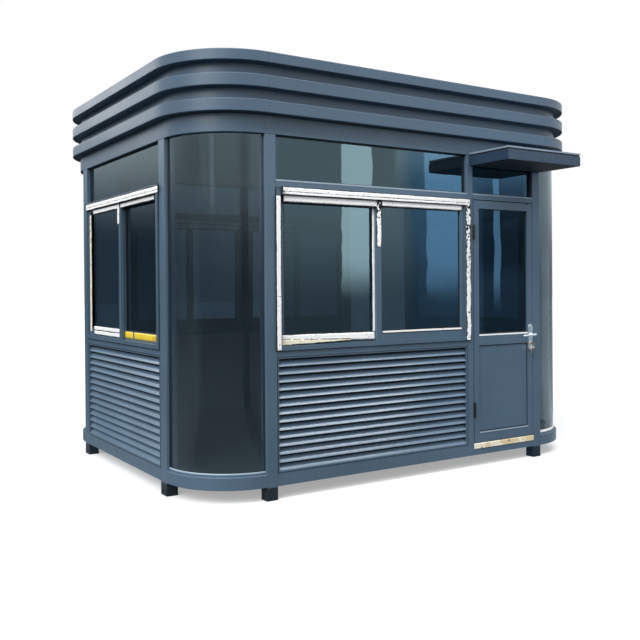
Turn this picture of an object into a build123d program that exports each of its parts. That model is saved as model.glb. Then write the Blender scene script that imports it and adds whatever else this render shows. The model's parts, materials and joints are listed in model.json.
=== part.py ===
"""Security guard booth: a steel frame with curved glass corners, sliding windows, louvred lower
panels, a hinged glazed door under a canopy, and a parapet of three projecting bands.

Millimetres, +Z up. The origin is on the ground under the centre of the overall box.
The front wall faces -Y. Every wall has its own plane: u runs along the wall from left to right as
seen from outside, v is the height above ground, and depth is measured inwards from the wall face.
"""

from build123d import *
import os

os.makedirs("parts", exist_ok=True)

# ---------------------------------------------------------------- overall sizes
width = 3440
depth = 2700
corner_radius = 480

# ---------------------------------------------------------------- levels, each height by itself
foot_height = 88
base_beam_height = 82
louvre_panel_height = 742
sill_rail_height = 40
front_window_height = 1038
transom_rail_height = 55
door_head_rail_height = 42
transom_pane_height = 285
head_height = 120
band_height = 80
band_gap = 77
top_band_height = 70

base_bottom = foot_height
base_top = base_bottom + base_beam_height
louvre_top = base_top + louvre_panel_height
window_bottom = louvre_top + sill_rail_height
transom_bottom = window_bottom + front_window_height
transom_top = transom_bottom + transom_rail_height
door_opening_top = transom_top - door_head_rail_height
head_bottom = transom_top + transom_pane_height
head_top = head_bottom + head_height

# ---------------------------------------------------------------- frame members
wall_thickness = 80
front_post_width = 80
side_post_width = 100
hinge_post_width = 60
rear_post_width = 60
door_opening_width = 630
tube_rounding = 4
foot_plate_thickness = 6
floor_thickness = 40
ceiling_thickness = 12
seam = 1

# ---------------------------------------------------------------- parapet
band_overhang = 60
band_rounding = 6
parapet_inset = 8
parapet_wall_thickness = 40
roof_deck_drop = 100
roof_deck_thickness = 20

# ---------------------------------------------------------------- louvres and wall panels
louvre_frame_width = 12
louvre_frame_depth = 38
louvre_pitch_wanted = 53
blade_thickness = 3
blade_slope_depth = 30
blade_overlap = 6
blade_lip_height = 7
wall_panel_thickness = 38

# ---------------------------------------------------------------- glass
corner_glass_thickness = 8
corner_glass_depth = 24
channel_height = 12
channel_side = 6
transom_glass_thickness = 6
transom_glass_depth = 30

# ---------------------------------------------------------------- sliding windows
window_frame_face = 28
window_frame_depth = 76
window_frame_proud = 12
sash_side = 42
sash_top_rail = 48
sash_bottom_rail = 64
sash_thickness = 24
sash_gap = 6
outer_sash_depth = 2
window_glass_thickness = 5

# ---------------------------------------------------------------- door
door_gap = 6
door_thickness = 45
door_stile = 52
door_top_rail = 60
door_middle_rail = 84
door_bottom_rail = 78
door_panel_height = 650
door_panel_thickness = 28
door_panel_depth = 8
door_glass_thickness = 6
door_glass_depth = 18
threshold_thickness = 4
threshold_drop = 34
stop_thickness = 24
stop_overlap = 15

hinge_knuckles = 3
hinge_barrel_radius = 8
hinge_pin_radius = 3
hinge_pin_clearance = 0.3
hinge_height = 112
hinge_plate_thickness = 2
hinge_plate_depth = 34
knuckle_gap = 1
hinge_standoff = 9
lower_hinge_height = 427
upper_hinge_height = 1757

lock_plate_width = 44
lock_plate_height = 204
lock_plate_thickness = 8
lock_plate_rounding = 21
lock_plate_centre_height = 950
lever_height = 970
lever_neck_radius = 9
lever_hole_clearance = 1
lever_reach = 118
lever_standoff = 52
lever_radius = 9
cylinder_height = 902
cylinder_radius = 8
cylinder_standoff = 6
key_shoulder = 3
key_bow_radius = 13
key_hole_radius = 4
key_thickness = 2.5
key_blade_width = 8
key_blade_length = 34
key_ring_radius = 15
key_ring_wire_radius = 1.2
key_ring_bite = 0.4
loose_key_angles = [-16, 2, 21]

# ---------------------------------------------------------------- canopy
canopy_projection = 400
canopy_height = 95
canopy_bottom_drop = 80
canopy_left_inset = 25
canopy_right_extra = 10
canopy_rounding = 3

# ---------------------------------------------------------------- places worked out from the sizes
half_width = width / 2
wall_middle_y = (canopy_projection - band_overhang) / 2
front_y = wall_middle_y - depth / 2
rear_y = wall_middle_y + depth / 2

front_wall = Plane(origin=(0, front_y, 0), x_dir=(1, 0, 0), z_dir=(0, -1, 0))
rear_wall = Plane(origin=(0, rear_y, 0), x_dir=(-1, 0, 0), z_dir=(0, 1, 0))
left_wall = Plane(origin=(-half_width, wall_middle_y, 0), x_dir=(0, -1, 0), z_dir=(-1, 0, 0))
right_wall = Plane(origin=(half_width, wall_middle_y, 0), x_dir=(0, 1, 0), z_dir=(1, 0, 0))

straight_x = half_width - corner_radius
straight_y = depth / 2 - corner_radius
front_bay_end = straight_x - front_post_width
side_bay_end = straight_y - side_post_width
door_right = front_bay_end
door_left = door_right - door_opening_width
hinge_post_left = door_left - hinge_post_width

walls = [
    (front_wall, straight_x),
    (right_wall, straight_y),
    (rear_wall, straight_x),
    (left_wall, straight_y),
]
# corner centres, each with the direction in which its quarter turn starts
corners = [
    (straight_x, wall_middle_y - straight_y, 270),
    (straight_x, wall_middle_y + straight_y, 0),
    (-straight_x, wall_middle_y + straight_y, 90),
    (-straight_x, wall_middle_y - straight_y, 180),
]
# window bays: wall plane, left end, right end
front_bay = (front_wall, -front_bay_end, hinge_post_left)
left_bay = (left_wall, -side_bay_end, side_bay_end)
right_bay = (right_wall, -side_bay_end, side_bay_end)
rear_left_bay = (rear_wall, -front_bay_end, -rear_post_width / 2)
rear_right_bay = (rear_wall, rear_post_width / 2, front_bay_end)
door_bay = (front_wall, door_left, door_right)
window_bays = [front_bay, left_bay, right_bay, rear_left_bay, rear_right_bay]
side_bays = [left_bay, right_bay]
rear_bays = [rear_left_bay, rear_right_bay]


# ---------------------------------------------------------------- shapes used more than once
def block(wall, left, right, bottom, top, near, far, rounding=0):
    """A plain block in a wall, from depth near to depth far."""
    with BuildPart() as piece:
        with BuildSketch(wall.offset(-near)):
            with Locations(((left + right) / 2, (bottom + top) / 2)):
                Rectangle(right - left, top - bottom)
        extrude(amount=near - far)
        if rounding:
            fillet(piece.edges().filter_by(Axis(wall.origin, wall.x_dir)), radius=rounding)
    return piece.part


def ring(wall, left, right, bottom, top, near, far, side, lower=None, upper=None):
    """A rectangular frame in a wall, with its two sides, lower rail and upper rail."""
    lower = side if lower is None else lower
    upper = side if upper is None else upper
    with BuildPart() as piece:
        with BuildSketch(wall.offset(-near)):
            with Locations(((left + right) / 2, (bottom + top) / 2)):
                Rectangle(right - left, top - bottom)
            with Locations(((left + right) / 2, (bottom + lower + top - upper) / 2)):
                Rectangle(right - left - 2 * side, top - bottom - lower - upper, mode=Mode.SUBTRACT)
        extrude(amount=near - far)
    return piece.part


def section_face(plane, start, near, far, bottom, top, rounding):
    """The section of a rail, from depth near to depth far, with its two outer edges rounded."""
    with BuildSketch(plane) as section:
        with Locations((start - (near + far) / 2, (bottom + top) / 2)):
            Rectangle(far - near, top - bottom)
        if rounding:
            fillet(section.vertices().group_by(Axis.X)[-1], radius=rounding)
    return section.sketch


def straight_rail(wall, half_length, near, far, bottom, top, rounding):
    """A rail along the straight stretch of a wall."""
    plane = Plane(origin=wall.origin, x_dir=wall.z_dir, z_dir=-wall.x_dir)
    with BuildPart() as piece:
        face = section_face(plane, 0, near, far, bottom, top, rounding)
        extrude(face, amount=half_length, both=True)
    return piece.part


def corner_rail(corner, near, far, bottom, top, rounding):
    """A rail round a quarter turn of a corner."""
    centre_x, centre_y, start_angle = corner
    start = Vector(1, 0, 0).rotate(Axis.Z, start_angle)
    plane = Plane(origin=(centre_x, centre_y, 0), x_dir=start, z_dir=start.cross(Vector(0, 0, 1)))
    with BuildPart() as piece:
        face = section_face(plane, corner_radius, near, far, bottom, top, rounding)
        revolve(face, axis=Axis((centre_x, centre_y, 0), (0, 0, 1)), revolution_arc=90)
    return piece.part


def rails_all_round(near, far, bottom, top, rounding):
    """Four straight rails and four corner rails, with an open seam at each joint."""
    runs = [straight_rail(wall, half - seam, near, far, bottom, top, rounding) for wall, half in walls]
    turns = [corner_rail(corner, near, far, bottom, top, rounding) for corner in corners]
    return runs + turns


def rounded_plate(inset, bottom, top):
    """A plate over the whole plan, its edge at the given distance inside the wall face."""
    with BuildPart() as piece:
        with BuildSketch(Plane.XY.offset(bottom)):
            with Locations((0, wall_middle_y)):
                RectangleRounded(width - 2 * inset, depth - 2 * inset, corner_radius - inset)
        extrude(amount=top - bottom)
    return piece.part


def post(wall, left, right, bottom, top):
    """A square tube post standing in a wall, its long edges rounded."""
    with BuildPart() as piece:
        add(block(wall, left, right, bottom, top, 0, wall_thickness))
        fillet(piece.edges().filter_by(Axis.Z), radius=tube_rounding)
    return piece.part


def louvre_blades(bay):
    """Sloping blades with a turned-down lip, from the bottom of the panel to its top."""
    wall, left, right = bay
    bottom = base_top + louvre_frame_width
    height = louvre_panel_height - 2 * louvre_frame_width
    count = round(louvre_panel_height / louvre_pitch_wanted)
    pitch = height / count
    rise = pitch + blade_overlap - blade_lip_height
    middle = (left + right) / 2
    half_length = (right - left) / 2 - louvre_frame_width
    plane = Plane(origin=wall.origin + wall.x_dir * middle, x_dir=wall.z_dir, z_dir=-wall.x_dir)
    nose = -blade_thickness
    back = nose - blade_slope_depth
    with BuildPart() as blades:
        for index in range(count):
            foot = bottom + index * pitch
            crest = min(foot + blade_lip_height + rise, bottom + height)
            with BuildSketch(plane) as section:
                with BuildLine():
                    Polyline(
                        (nose, foot),
                        (nose, foot + blade_lip_height),
                        (back, crest),
                        (back - blade_thickness, crest),
                        (nose - blade_thickness, foot + blade_lip_height),
                        (nose - blade_thickness, foot),
                        close=True,
                    )
                make_face()
            extrude(section.sketch, amount=half_length, both=True)
    return blades.part


def window_frame(bay, top):
    """The fixed outer frame of a sliding window."""
    wall, left, right = bay
    far = window_frame_depth - window_frame_proud
    return ring(wall, left, right, window_bottom, top, -window_frame_proud, far, window_frame_face)


def sash_places(bay, outer_is_left):
    """Left end, right end and outer depth of the two sashes, which overlap by one stile."""
    _, left, right = bay
    inner_left = left + window_frame_face
    inner_right = right - window_frame_face
    sash_width = (inner_right - inner_left + sash_side) / 2
    inner_sash_depth = outer_sash_depth + sash_thickness + sash_gap
    left_depth, right_depth = outer_sash_depth, inner_sash_depth
    if not outer_is_left:
        left_depth, right_depth = inner_sash_depth, outer_sash_depth
    return [
        (inner_left, inner_left + sash_width, left_depth),
        (inner_right - sash_width, inner_right, right_depth),
    ]


def window_sashes(bay, top, outer_is_left):
    """The two sash frames of a sliding window."""
    wall = bay[0]
    low = window_bottom + window_frame_face
    high = top - window_frame_face
    return [
        ring(wall, left, right, low, high, near, near + sash_thickness, sash_side,
             sash_bottom_rail, sash_top_rail)
        for left, right, near in sash_places(bay, outer_is_left)
    ]


def window_panes(bay, top, outer_is_left):
    """The two panes of a sliding window, in the middle of their sashes."""
    wall = bay[0]
    low = window_bottom + window_frame_face + sash_bottom_rail
    high = top - window_frame_face - sash_top_rail
    set_in = (sash_thickness - window_glass_thickness) / 2
    return [
        block(wall, left + sash_side, right - sash_side, low, high,
              near + set_in, near + set_in + window_glass_thickness)
        for left, right, near in sash_places(bay, outer_is_left)
    ]


# ---------------------------------------------------------------- base
corner_post_places = [
    (front_wall, -straight_x, -front_bay_end),
    (front_wall, front_bay_end, straight_x),
    (rear_wall, -straight_x, -front_bay_end),
    (rear_wall, front_bay_end, straight_x),
    (left_wall, -straight_y, -side_bay_end),
    (left_wall, side_bay_end, straight_y),
    (right_wall, -straight_y, -side_bay_end),
    (right_wall, side_bay_end, straight_y),
]

with BuildPart() as foot_plates:
    for wall, left, right in corner_post_places:
        add(block(wall, left, right, 0, foot_plate_thickness, 0, wall_thickness))
foot_plates.part.label = "foot_plates"
export_step(foot_plates.part, "parts/foot_plates.step")

with BuildPart() as corner_posts:
    for wall, left, right in corner_post_places:
        add(post(wall, left, right, foot_plate_thickness, head_bottom))
corner_posts.part.label = "corner_posts"
export_step(corner_posts.part, "parts/corner_posts.step")

with BuildPart() as base_beams:
    add(block(front_wall, -front_bay_end, front_bay_end, base_bottom, base_top, 0, wall_thickness))
    add(block(rear_wall, -front_bay_end, front_bay_end, base_bottom, base_top, 0, wall_thickness))
    add(block(left_wall, -side_bay_end, side_bay_end, base_bottom, base_top, 0, wall_thickness))
    add(block(right_wall, -side_bay_end, side_bay_end, base_bottom, base_top, 0, wall_thickness))
base_beams.part.label = "base_beams"
export_step(base_beams.part, "parts/base_beams.step")

with BuildPart() as base_corner_beams:
    for corner in corners:
        add(corner_rail(corner, 0, wall_thickness, base_bottom, base_top, tube_rounding))
base_corner_beams.part.label = "base_corner_beams"
export_step(base_corner_beams.part, "parts/base_corner_beams.step")

with BuildPart() as floor_deck:
    add(rounded_plate(wall_thickness, base_top - floor_thickness, base_top))
floor_deck.part.label = "floor_deck"
export_step(floor_deck.part, "parts/floor_deck.step")

# ---------------------------------------------------------------- frame inside the walls
with BuildPart() as door_hinge_post:
    add(post(front_wall, hinge_post_left, door_left, base_top, head_bottom))
door_hinge_post.part.label = "door_hinge_post"
export_step(door_hinge_post.part, "parts/door_hinge_post.step")

with BuildPart() as rear_middle_post:
    add(post(rear_wall, -rear_post_width / 2, rear_post_width / 2, base_top, head_bottom))
rear_middle_post.part.label = "rear_middle_post"
export_step(rear_middle_post.part, "parts/rear_middle_post.step")

with BuildPart() as sill_rails:
    for wall, left, right in window_bays:
        add(block(wall, left, right, louvre_top, window_bottom, 0, wall_thickness))
sill_rails.part.label = "sill_rails"
export_step(sill_rails.part, "parts/sill_rails.step")

with BuildPart() as transom_rails:
    for wall, left, right in [front_bay, rear_left_bay, rear_right_bay]:
        add(block(wall, left, right, transom_bottom, transom_top, 0, wall_thickness))
    add(block(front_wall, door_left, door_right, door_opening_top, transom_top, 0, wall_thickness))
transom_rails.part.label = "transom_rails"
export_step(transom_rails.part, "parts/transom_rails.step")

# ---------------------------------------------------------------- lower walls
with BuildPart() as wall_panels:
    for wall, left, right in window_bays:
        near = wall_thickness - wall_panel_thickness
        add(block(wall, left, right, base_top, louvre_top, near, wall_thickness))
wall_panels.part.label = "wall_panels"
export_step(wall_panels.part, "parts/wall_panels.step")

with BuildPart() as louvre_frames:
    for wall, left, right in window_bays:
        add(ring(wall, left, right, base_top, louvre_top, 0, louvre_frame_depth, louvre_frame_width))
louvre_frames.part.label = "louvre_frames"
export_step(louvre_frames.part, "parts/louvre_frames.step")

with BuildPart() as front_louvre_blades:
    add(louvre_blades(front_bay))
front_louvre_blades.part.label = "front_louvre_blades"
export_step(front_louvre_blades.part, "parts/front_louvre_blades.step")

with BuildPart() as left_louvre_blades:
    add(louvre_blades(left_bay))
left_louvre_blades.part.label = "left_louvre_blades"
export_step(left_louvre_blades.part, "parts/left_louvre_blades.step")

with BuildPart() as right_louvre_blades:
    add(louvre_blades(right_bay))
right_louvre_blades.part.label = "right_louvre_blades"
export_step(right_louvre_blades.part, "parts/right_louvre_blades.step")

with BuildPart() as rear_louvre_blades:
    for bay in rear_bays:
        add(louvre_blades(bay))
rear_louvre_blades.part.label = "rear_louvre_blades"
export_step(rear_louvre_blades.part, "parts/rear_louvre_blades.step")

# ---------------------------------------------------------------- fixed glass
with BuildPart() as corner_glass_channels:
    for corner in corners:
        near = corner_glass_depth - channel_side
        far = corner_glass_depth + corner_glass_thickness + channel_side
        add(corner_rail(corner, near, far, base_top, base_top + channel_height, 0))
corner_glass_channels.part.label = "corner_glass_channels"
export_step(corner_glass_channels.part, "parts/corner_glass_channels.step")

with BuildPart() as corner_glass:
    for corner in corners:
        far = corner_glass_depth + corner_glass_thickness
        add(corner_rail(corner, corner_glass_depth, far, base_top + channel_height, head_bottom, 0))
corner_glass.part.label = "corner_glass"
export_step(corner_glass.part, "parts/corner_glass.step")

with BuildPart() as transom_glass:
    for wall, left, right in window_bays + [door_bay]:
        far = transom_glass_depth + transom_glass_thickness
        add(block(wall, left, right, transom_top, head_bottom, transom_glass_depth, far))
transom_glass.part.label = "transom_glass"
export_step(transom_glass.part, "parts/transom_glass.step")

# ---------------------------------------------------------------- sliding windows
# the side windows reach up to the transom pane, the others stop under the transom rail
with BuildPart() as front_window_frame:
    add(window_frame(front_bay, transom_bottom))
front_window_frame.part.label = "front_window_frame"
export_step(front_window_frame.part, "parts/front_window_frame.step")

with BuildPart() as front_window_sashes:
    add(window_sashes(front_bay, transom_bottom, False))
front_window_sashes.part.label = "front_window_sashes"
export_step(front_window_sashes.part, "parts/front_window_sashes.step")

with BuildPart() as front_window_glass:
    add(window_panes(front_bay, transom_bottom, False))
front_window_glass.part.label = "front_window_glass"
export_step(front_window_glass.part, "parts/front_window_glass.step")

with BuildPart() as side_window_frames:
    for bay in side_bays:
        add(window_frame(bay, transom_top))
side_window_frames.part.label = "side_window_frames"
export_step(side_window_frames.part, "parts/side_window_frames.step")

with BuildPart() as side_window_sashes:
    for bay in side_bays:
        add(window_sashes(bay, transom_top, True))
side_window_sashes.part.label = "side_window_sashes"
export_step(side_window_sashes.part, "parts/side_window_sashes.step")

with BuildPart() as side_window_glass:
    for bay in side_bays:
        add(window_panes(bay, transom_top, True))
side_window_glass.part.label = "side_window_glass"
export_step(side_window_glass.part, "parts/side_window_glass.step")

with BuildPart() as rear_window_frames:
    for bay in rear_bays:
        add(window_frame(bay, transom_bottom))
rear_window_frames.part.label = "rear_window_frames"
export_step(rear_window_frames.part, "parts/rear_window_frames.step")

with BuildPart() as rear_window_sashes:
    for bay in rear_bays:
        add(window_sashes(bay, transom_bottom, False))
rear_window_sashes.part.label = "rear_window_sashes"
export_step(rear_window_sashes.part, "parts/rear_window_sashes.step")

with BuildPart() as rear_window_glass:
    for bay in rear_bays:
        add(window_panes(bay, transom_bottom, False))
rear_window_glass.part.label = "rear_window_glass"
export_step(rear_window_glass.part, "parts/rear_window_glass.step")

# ---------------------------------------------------------------- head, parapet and roof
with BuildPart() as head_rail:
    add(rails_all_round(0, wall_thickness, head_bottom, head_top, tube_rounding))
head_rail.part.label = "head_rail"
export_step(head_rail.part, "parts/head_rail.step")

lower_band_top = head_top + band_height
middle_band_bottom = lower_band_top + band_gap
middle_band_top = middle_band_bottom + band_height
top_band_bottom = middle_band_top + band_gap
top_band_top = top_band_bottom + top_band_height
parapet_back = parapet_inset + parapet_wall_thickness

with BuildPart() as parapet_wall:
    add(rails_all_round(parapet_inset, parapet_back, head_top, top_band_bottom, 0))
parapet_wall.part.label = "parapet_wall"
export_step(parapet_wall.part, "parts/parapet_wall.step")

with BuildPart() as lower_parapet_band:
    add(rails_all_round(-band_overhang, parapet_inset, head_top, lower_band_top, band_rounding))
lower_parapet_band.part.label = "lower_parapet_band"
export_step(lower_parapet_band.part, "parts/lower_parapet_band.step")

with BuildPart() as middle_parapet_band:
    add(rails_all_round(-band_overhang, parapet_inset, middle_band_bottom, middle_band_top, band_rounding))
middle_parapet_band.part.label = "middle_parapet_band"
export_step(middle_parapet_band.part, "parts/middle_parapet_band.step")

with BuildPart() as top_parapet_band:
    add(rails_all_round(-band_overhang, parapet_back, top_band_bottom, top_band_top, band_rounding))
top_parapet_band.part.label = "top_parapet_band"
export_step(top_parapet_band.part, "parts/top_parapet_band.step")

with BuildPart() as roof_deck:
    roof_deck_top = top_band_top - roof_deck_drop
    add(rounded_plate(parapet_back, roof_deck_top - roof_deck_thickness, roof_deck_top))
roof_deck.part.label = "roof_deck"
export_step(roof_deck.part, "parts/roof_deck.step")

with BuildPart() as ceiling_panel:
    add(rounded_plate(wall_thickness, head_bottom, head_bottom + ceiling_thickness))
ceiling_panel.part.label = "ceiling_panel"
export_step(ceiling_panel.part, "parts/ceiling_panel.step")

with BuildPart() as door_canopy:
    canopy_bottom = head_bottom - canopy_bottom_drop
    canopy_left = hinge_post_left + canopy_left_inset
    canopy_right = straight_x + canopy_right_extra
    add(block(front_wall, canopy_left, canopy_right, canopy_bottom, canopy_bottom + canopy_height,
              -canopy_projection, 0, canopy_rounding))
door_canopy.part.label = "door_canopy"
export_step(door_canopy.part, "parts/door_canopy.step")

# ---------------------------------------------------------------- door surround
leaf_bottom = base_top + threshold_thickness + door_gap
leaf_top = door_opening_top - door_gap
leaf_left = door_left + door_gap
leaf_right = door_right - door_gap

with BuildPart() as door_threshold:
    sill_top = base_top + threshold_thickness
    add(block(front_wall, door_left, door_right, base_top, sill_top, 0, wall_thickness))
    add(block(front_wall, door_left, door_right, base_top - threshold_drop, sill_top,
              -threshold_thickness, 0))
door_threshold.part.label = "door_threshold"
export_step(door_threshold.part, "parts/door_threshold.step")

with BuildPart() as door_stops:
    stop_near = wall_thickness - stop_thickness
    stop_bottom = base_top + threshold_thickness
    add(block(front_wall, door_left, door_left + stop_overlap, stop_bottom, door_opening_top,
              stop_near, wall_thickness))
    add(block(front_wall, door_right - stop_overlap, door_right, stop_bottom, door_opening_top,
              stop_near, wall_thickness))
    add(block(front_wall, door_left, door_right, door_opening_top - stop_overlap, door_opening_top,
              stop_near, wall_thickness))
door_stops.part.label = "door_stops"
export_step(door_stops.part, "parts/door_stops.step")

# ---------------------------------------------------------------- door leaf
panel_bottom = leaf_bottom + door_bottom_rail
panel_top = panel_bottom + door_panel_height
door_glass_bottom = panel_top + door_middle_rail
door_glass_top = leaf_top - door_top_rail
lock_u = leaf_right - door_stile / 2
lever_hole_radius = lever_neck_radius + lever_hole_clearance

with BuildPart() as door_leaf_frame:
    add(ring(front_wall, leaf_left, leaf_right, leaf_bottom, leaf_top, 0, door_thickness,
             door_stile, door_bottom_rail, door_top_rail))
    add(block(front_wall, leaf_left + door_stile, leaf_right - door_stile, panel_top,
              door_glass_bottom, 0, door_thickness))
    with BuildSketch(front_wall) as spindle_hole:
        with Locations((lock_u, lever_height)):
            Circle(lever_hole_radius)
    extrude(spindle_hole.sketch, amount=-door_thickness, mode=Mode.SUBTRACT)
door_leaf_frame.part.label = "door_leaf_frame"
export_step(door_leaf_frame.part, "parts/door_leaf_frame.step")

with BuildPart() as door_panel:
    add(block(front_wall, leaf_left + door_stile, leaf_right - door_stile, panel_bottom, panel_top,
              door_panel_depth, door_panel_depth + door_panel_thickness))
door_panel.part.label = "door_panel"
export_step(door_panel.part, "parts/door_panel.step")

with BuildPart() as door_glass:
    add(block(front_wall, leaf_left + door_stile, leaf_right - door_stile, door_glass_bottom,
              door_glass_top, door_glass_depth, door_glass_depth + door_glass_thickness))
door_glass.part.label = "door_glass"
export_step(door_glass.part, "parts/door_glass.step")

# ---------------------------------------------------------------- hinges
hinge_x = door_left + door_gap / 2
hinge_y = front_y - hinge_standoff
knuckle_height = (hinge_height - (hinge_knuckles - 1) * knuckle_gap) / hinge_knuckles
hinge_heights = [lower_hinge_height, upper_hinge_height]
tab_near = hinge_pin_radius + knuckle_gap - hinge_standoff
plate_near = hinge_barrel_radius + knuckle_gap - hinge_standoff


def knuckle(low, bore):
    """One barrel piece of a hinge, from the given height up."""
    with BuildPart() as piece:
        with BuildSketch(Plane.XY.offset(low)):
            with Locations((hinge_x, hinge_y)):
                Circle(hinge_barrel_radius)
                if bore:
                    Circle(bore, mode=Mode.SUBTRACT)
        extrude(amount=knuckle_height)
    return piece.part


def hinge_plate(left, low, high, near, far):
    """A flat piece of a hinge in the gap beside the door."""
    return block(front_wall, left, left + hinge_plate_thickness, low, high, near, far)


with BuildPart() as door_hinge_frame_halves:
    for middle in hinge_heights:
        low = middle - hinge_height / 2
        high = middle + hinge_height / 2
        add(knuckle(low, 0))
        add(knuckle(high - knuckle_height, 0))
        with BuildSketch(Plane.XY.offset(low)) as pin:
            with Locations((hinge_x, hinge_y)):
                Circle(hinge_pin_radius)
        extrude(pin.sketch, amount=hinge_height)
        add(hinge_plate(door_left, low, low + knuckle_height, tab_near, plate_near))
        add(hinge_plate(door_left, high - knuckle_height, high, tab_near, plate_near))
        add(hinge_plate(door_left, low, high, plate_near, hinge_plate_depth))
door_hinge_frame_halves.part.label = "door_hinge_frame_halves"
export_step(door_hinge_frame_halves.part, "parts/door_hinge_frame_halves.step")

with BuildPart() as door_hinge_leaf_halves:
    for middle in hinge_heights:
        low = middle - knuckle_height / 2
        high = low + knuckle_height
        plate_low = middle - hinge_height / 2
        plate_high = middle + hinge_height / 2
        left = leaf_left - hinge_plate_thickness
        add(knuckle(low, hinge_pin_radius + hinge_pin_clearance))
        add(hinge_plate(left, low, high, tab_near, plate_near))
        add(hinge_plate(left, plate_low, plate_high, plate_near, hinge_plate_depth))
door_hinge_leaf_halves.part.label = "door_hinge_leaf_halves"
export_step(door_hinge_leaf_halves.part, "parts/door_hinge_leaf_halves.step")

# ---------------------------------------------------------------- lock and handle
plate_low = lock_plate_centre_height - lock_plate_height / 2
plate_high = lock_plate_centre_height + lock_plate_height / 2
plate_sides = [(-lock_plate_thickness, 0), (door_thickness, door_thickness + lock_plate_thickness)]

with BuildPart() as door_lock_plates:
    for near, far in plate_sides:
        with BuildSketch(front_wall.offset(-near)) as plate:
            with Locations((lock_u, lock_plate_centre_height)):
                RectangleRounded(lock_plate_width, lock_plate_height, lock_plate_rounding)
            with Locations((lock_u, lever_height)):
                Circle(lever_hole_radius, mode=Mode.SUBTRACT)
        extrude(plate.sketch, amount=near - far)
door_lock_plates.part.label = "door_lock_plates"
export_step(door_lock_plates.part, "parts/door_lock_plates.step")

with BuildPart() as door_lever:
    outer_end = lock_plate_thickness + lever_standoff
    inner_end = door_thickness + lock_plate_thickness + lever_standoff
    with BuildSketch(front_wall.offset(outer_end)) as neck:
        with Locations((lock_u, lever_height)):
            Circle(lever_neck_radius)
    extrude(neck.sketch, amount=-(outer_end + inner_end))
    for grip_depth in (lever_radius - outer_end, inner_end - lever_radius):
        grip_plane = Plane(origin=(lock_u, front_y + grip_depth, lever_height), z_dir=(-1, 0, 0))
        with BuildSketch(grip_plane) as grip:
            Circle(lever_radius)
        extrude(grip.sketch, amount=lever_reach)
door_lever.part.label = "door_lever"
export_step(door_lever.part, "parts/door_lever.step")

with BuildPart() as door_lock_cylinder:
    cylinder_end = lock_plate_thickness + cylinder_standoff
    with BuildSketch(front_wall.offset(cylinder_end)) as barrel:
        with Locations((lock_u, cylinder_height)):
            Circle(cylinder_radius)
    extrude(barrel.sketch, amount=-cylinder_standoff)
door_lock_cylinder.part.label = "door_lock_cylinder"
export_step(door_lock_cylinder.part, "parts/door_lock_cylinder.step")

# one key stands in the cylinder and the others hang from its ring, fanned out a little
bow_y = front_y - cylinder_end - key_shoulder - key_bow_radius
hole_drop = key_hole_radius - key_ring_wire_radius + key_ring_bite
ring_centre = Vector(lock_u, bow_y, cylinder_height - hole_drop - key_ring_radius)


def key_shape(bow_centre, blade_centre, blade_size):
    """Adds a key's outline to the open sketch: a round bow with a hole, and a blade."""
    with Locations(blade_centre):
        Rectangle(*blade_size)
    with Locations(bow_centre):
        Circle(key_bow_radius)
        Circle(key_hole_radius, mode=Mode.SUBTRACT)


with BuildPart() as door_keys:
    stem = key_shoulder + key_bow_radius
    stem_and_blade = key_bow_radius + key_blade_length
    bow_drop = key_ring_radius + hole_drop
    blade_drop = bow_drop + stem_and_blade / 2
    turned_plane = Plane(origin=(lock_u, bow_y, cylinder_height), x_dir=(0, 1, 0), z_dir=(1, 0, 0))
    with BuildSketch(turned_plane) as turned_key:
        key_shape((0, 0), (stem / 2, 0), (stem, key_blade_width))
    extrude(turned_key.sketch, amount=key_thickness / 2, both=True)
    with Locations(Location(ring_centre, (90, 0, 0))):
        Torus(key_ring_radius, key_ring_wire_radius)
    for angle in loose_key_angles:
        key_plane = Plane(origin=ring_centre, x_dir=(0, 1, 0), z_dir=Vector(1, 0, 0).rotate(Axis.Y, angle))
        with BuildSketch(key_plane) as loose_key:
            key_shape((0, -bow_drop), (0, -blade_drop), (key_blade_width, stem_and_blade))
        extrude(loose_key.sketch, amount=key_thickness / 2, both=True)
door_keys.part.label = "door_keys"
export_step(door_keys.part, "parts/door_keys.step")
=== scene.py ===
"""Looks of the security guard booth.

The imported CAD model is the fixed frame. Each class below dresses one sub-assembly: it gives the
carried-over nodes their finish and adds the small parts around them, such as glazing seals, beads,
peeling protective film, lock details and the studio that the booth stands in.

Lengths are metres. On a wall, u runs left to right seen from outside, v runs up and w runs out.
"""

import json
import logging
import math
import random
from dataclasses import dataclass, replace
from enum import Enum
from typing import Any, Iterable, Sequence

import bmesh
import bpy
from bmesh.types import BMEdge, BMesh, BMFace, BMVert
from bpy.types import Material, Node, NodeSocket, NodeTree, Object, World
from mathutils import Matrix, Vector, noise


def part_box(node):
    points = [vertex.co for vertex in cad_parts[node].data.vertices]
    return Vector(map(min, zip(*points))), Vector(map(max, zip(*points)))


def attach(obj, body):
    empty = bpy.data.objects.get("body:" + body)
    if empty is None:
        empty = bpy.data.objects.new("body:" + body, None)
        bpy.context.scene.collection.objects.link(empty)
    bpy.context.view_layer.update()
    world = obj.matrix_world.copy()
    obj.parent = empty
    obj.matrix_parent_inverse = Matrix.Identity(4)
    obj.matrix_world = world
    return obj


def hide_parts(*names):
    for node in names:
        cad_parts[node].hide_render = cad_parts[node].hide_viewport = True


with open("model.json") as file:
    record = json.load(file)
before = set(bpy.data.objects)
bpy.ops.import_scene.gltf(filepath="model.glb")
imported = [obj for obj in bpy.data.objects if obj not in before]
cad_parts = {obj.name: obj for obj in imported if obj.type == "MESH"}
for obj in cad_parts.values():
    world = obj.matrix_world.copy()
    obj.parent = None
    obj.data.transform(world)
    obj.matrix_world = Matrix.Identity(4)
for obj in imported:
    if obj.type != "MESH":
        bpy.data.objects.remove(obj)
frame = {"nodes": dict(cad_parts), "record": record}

MM = 0.001
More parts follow.
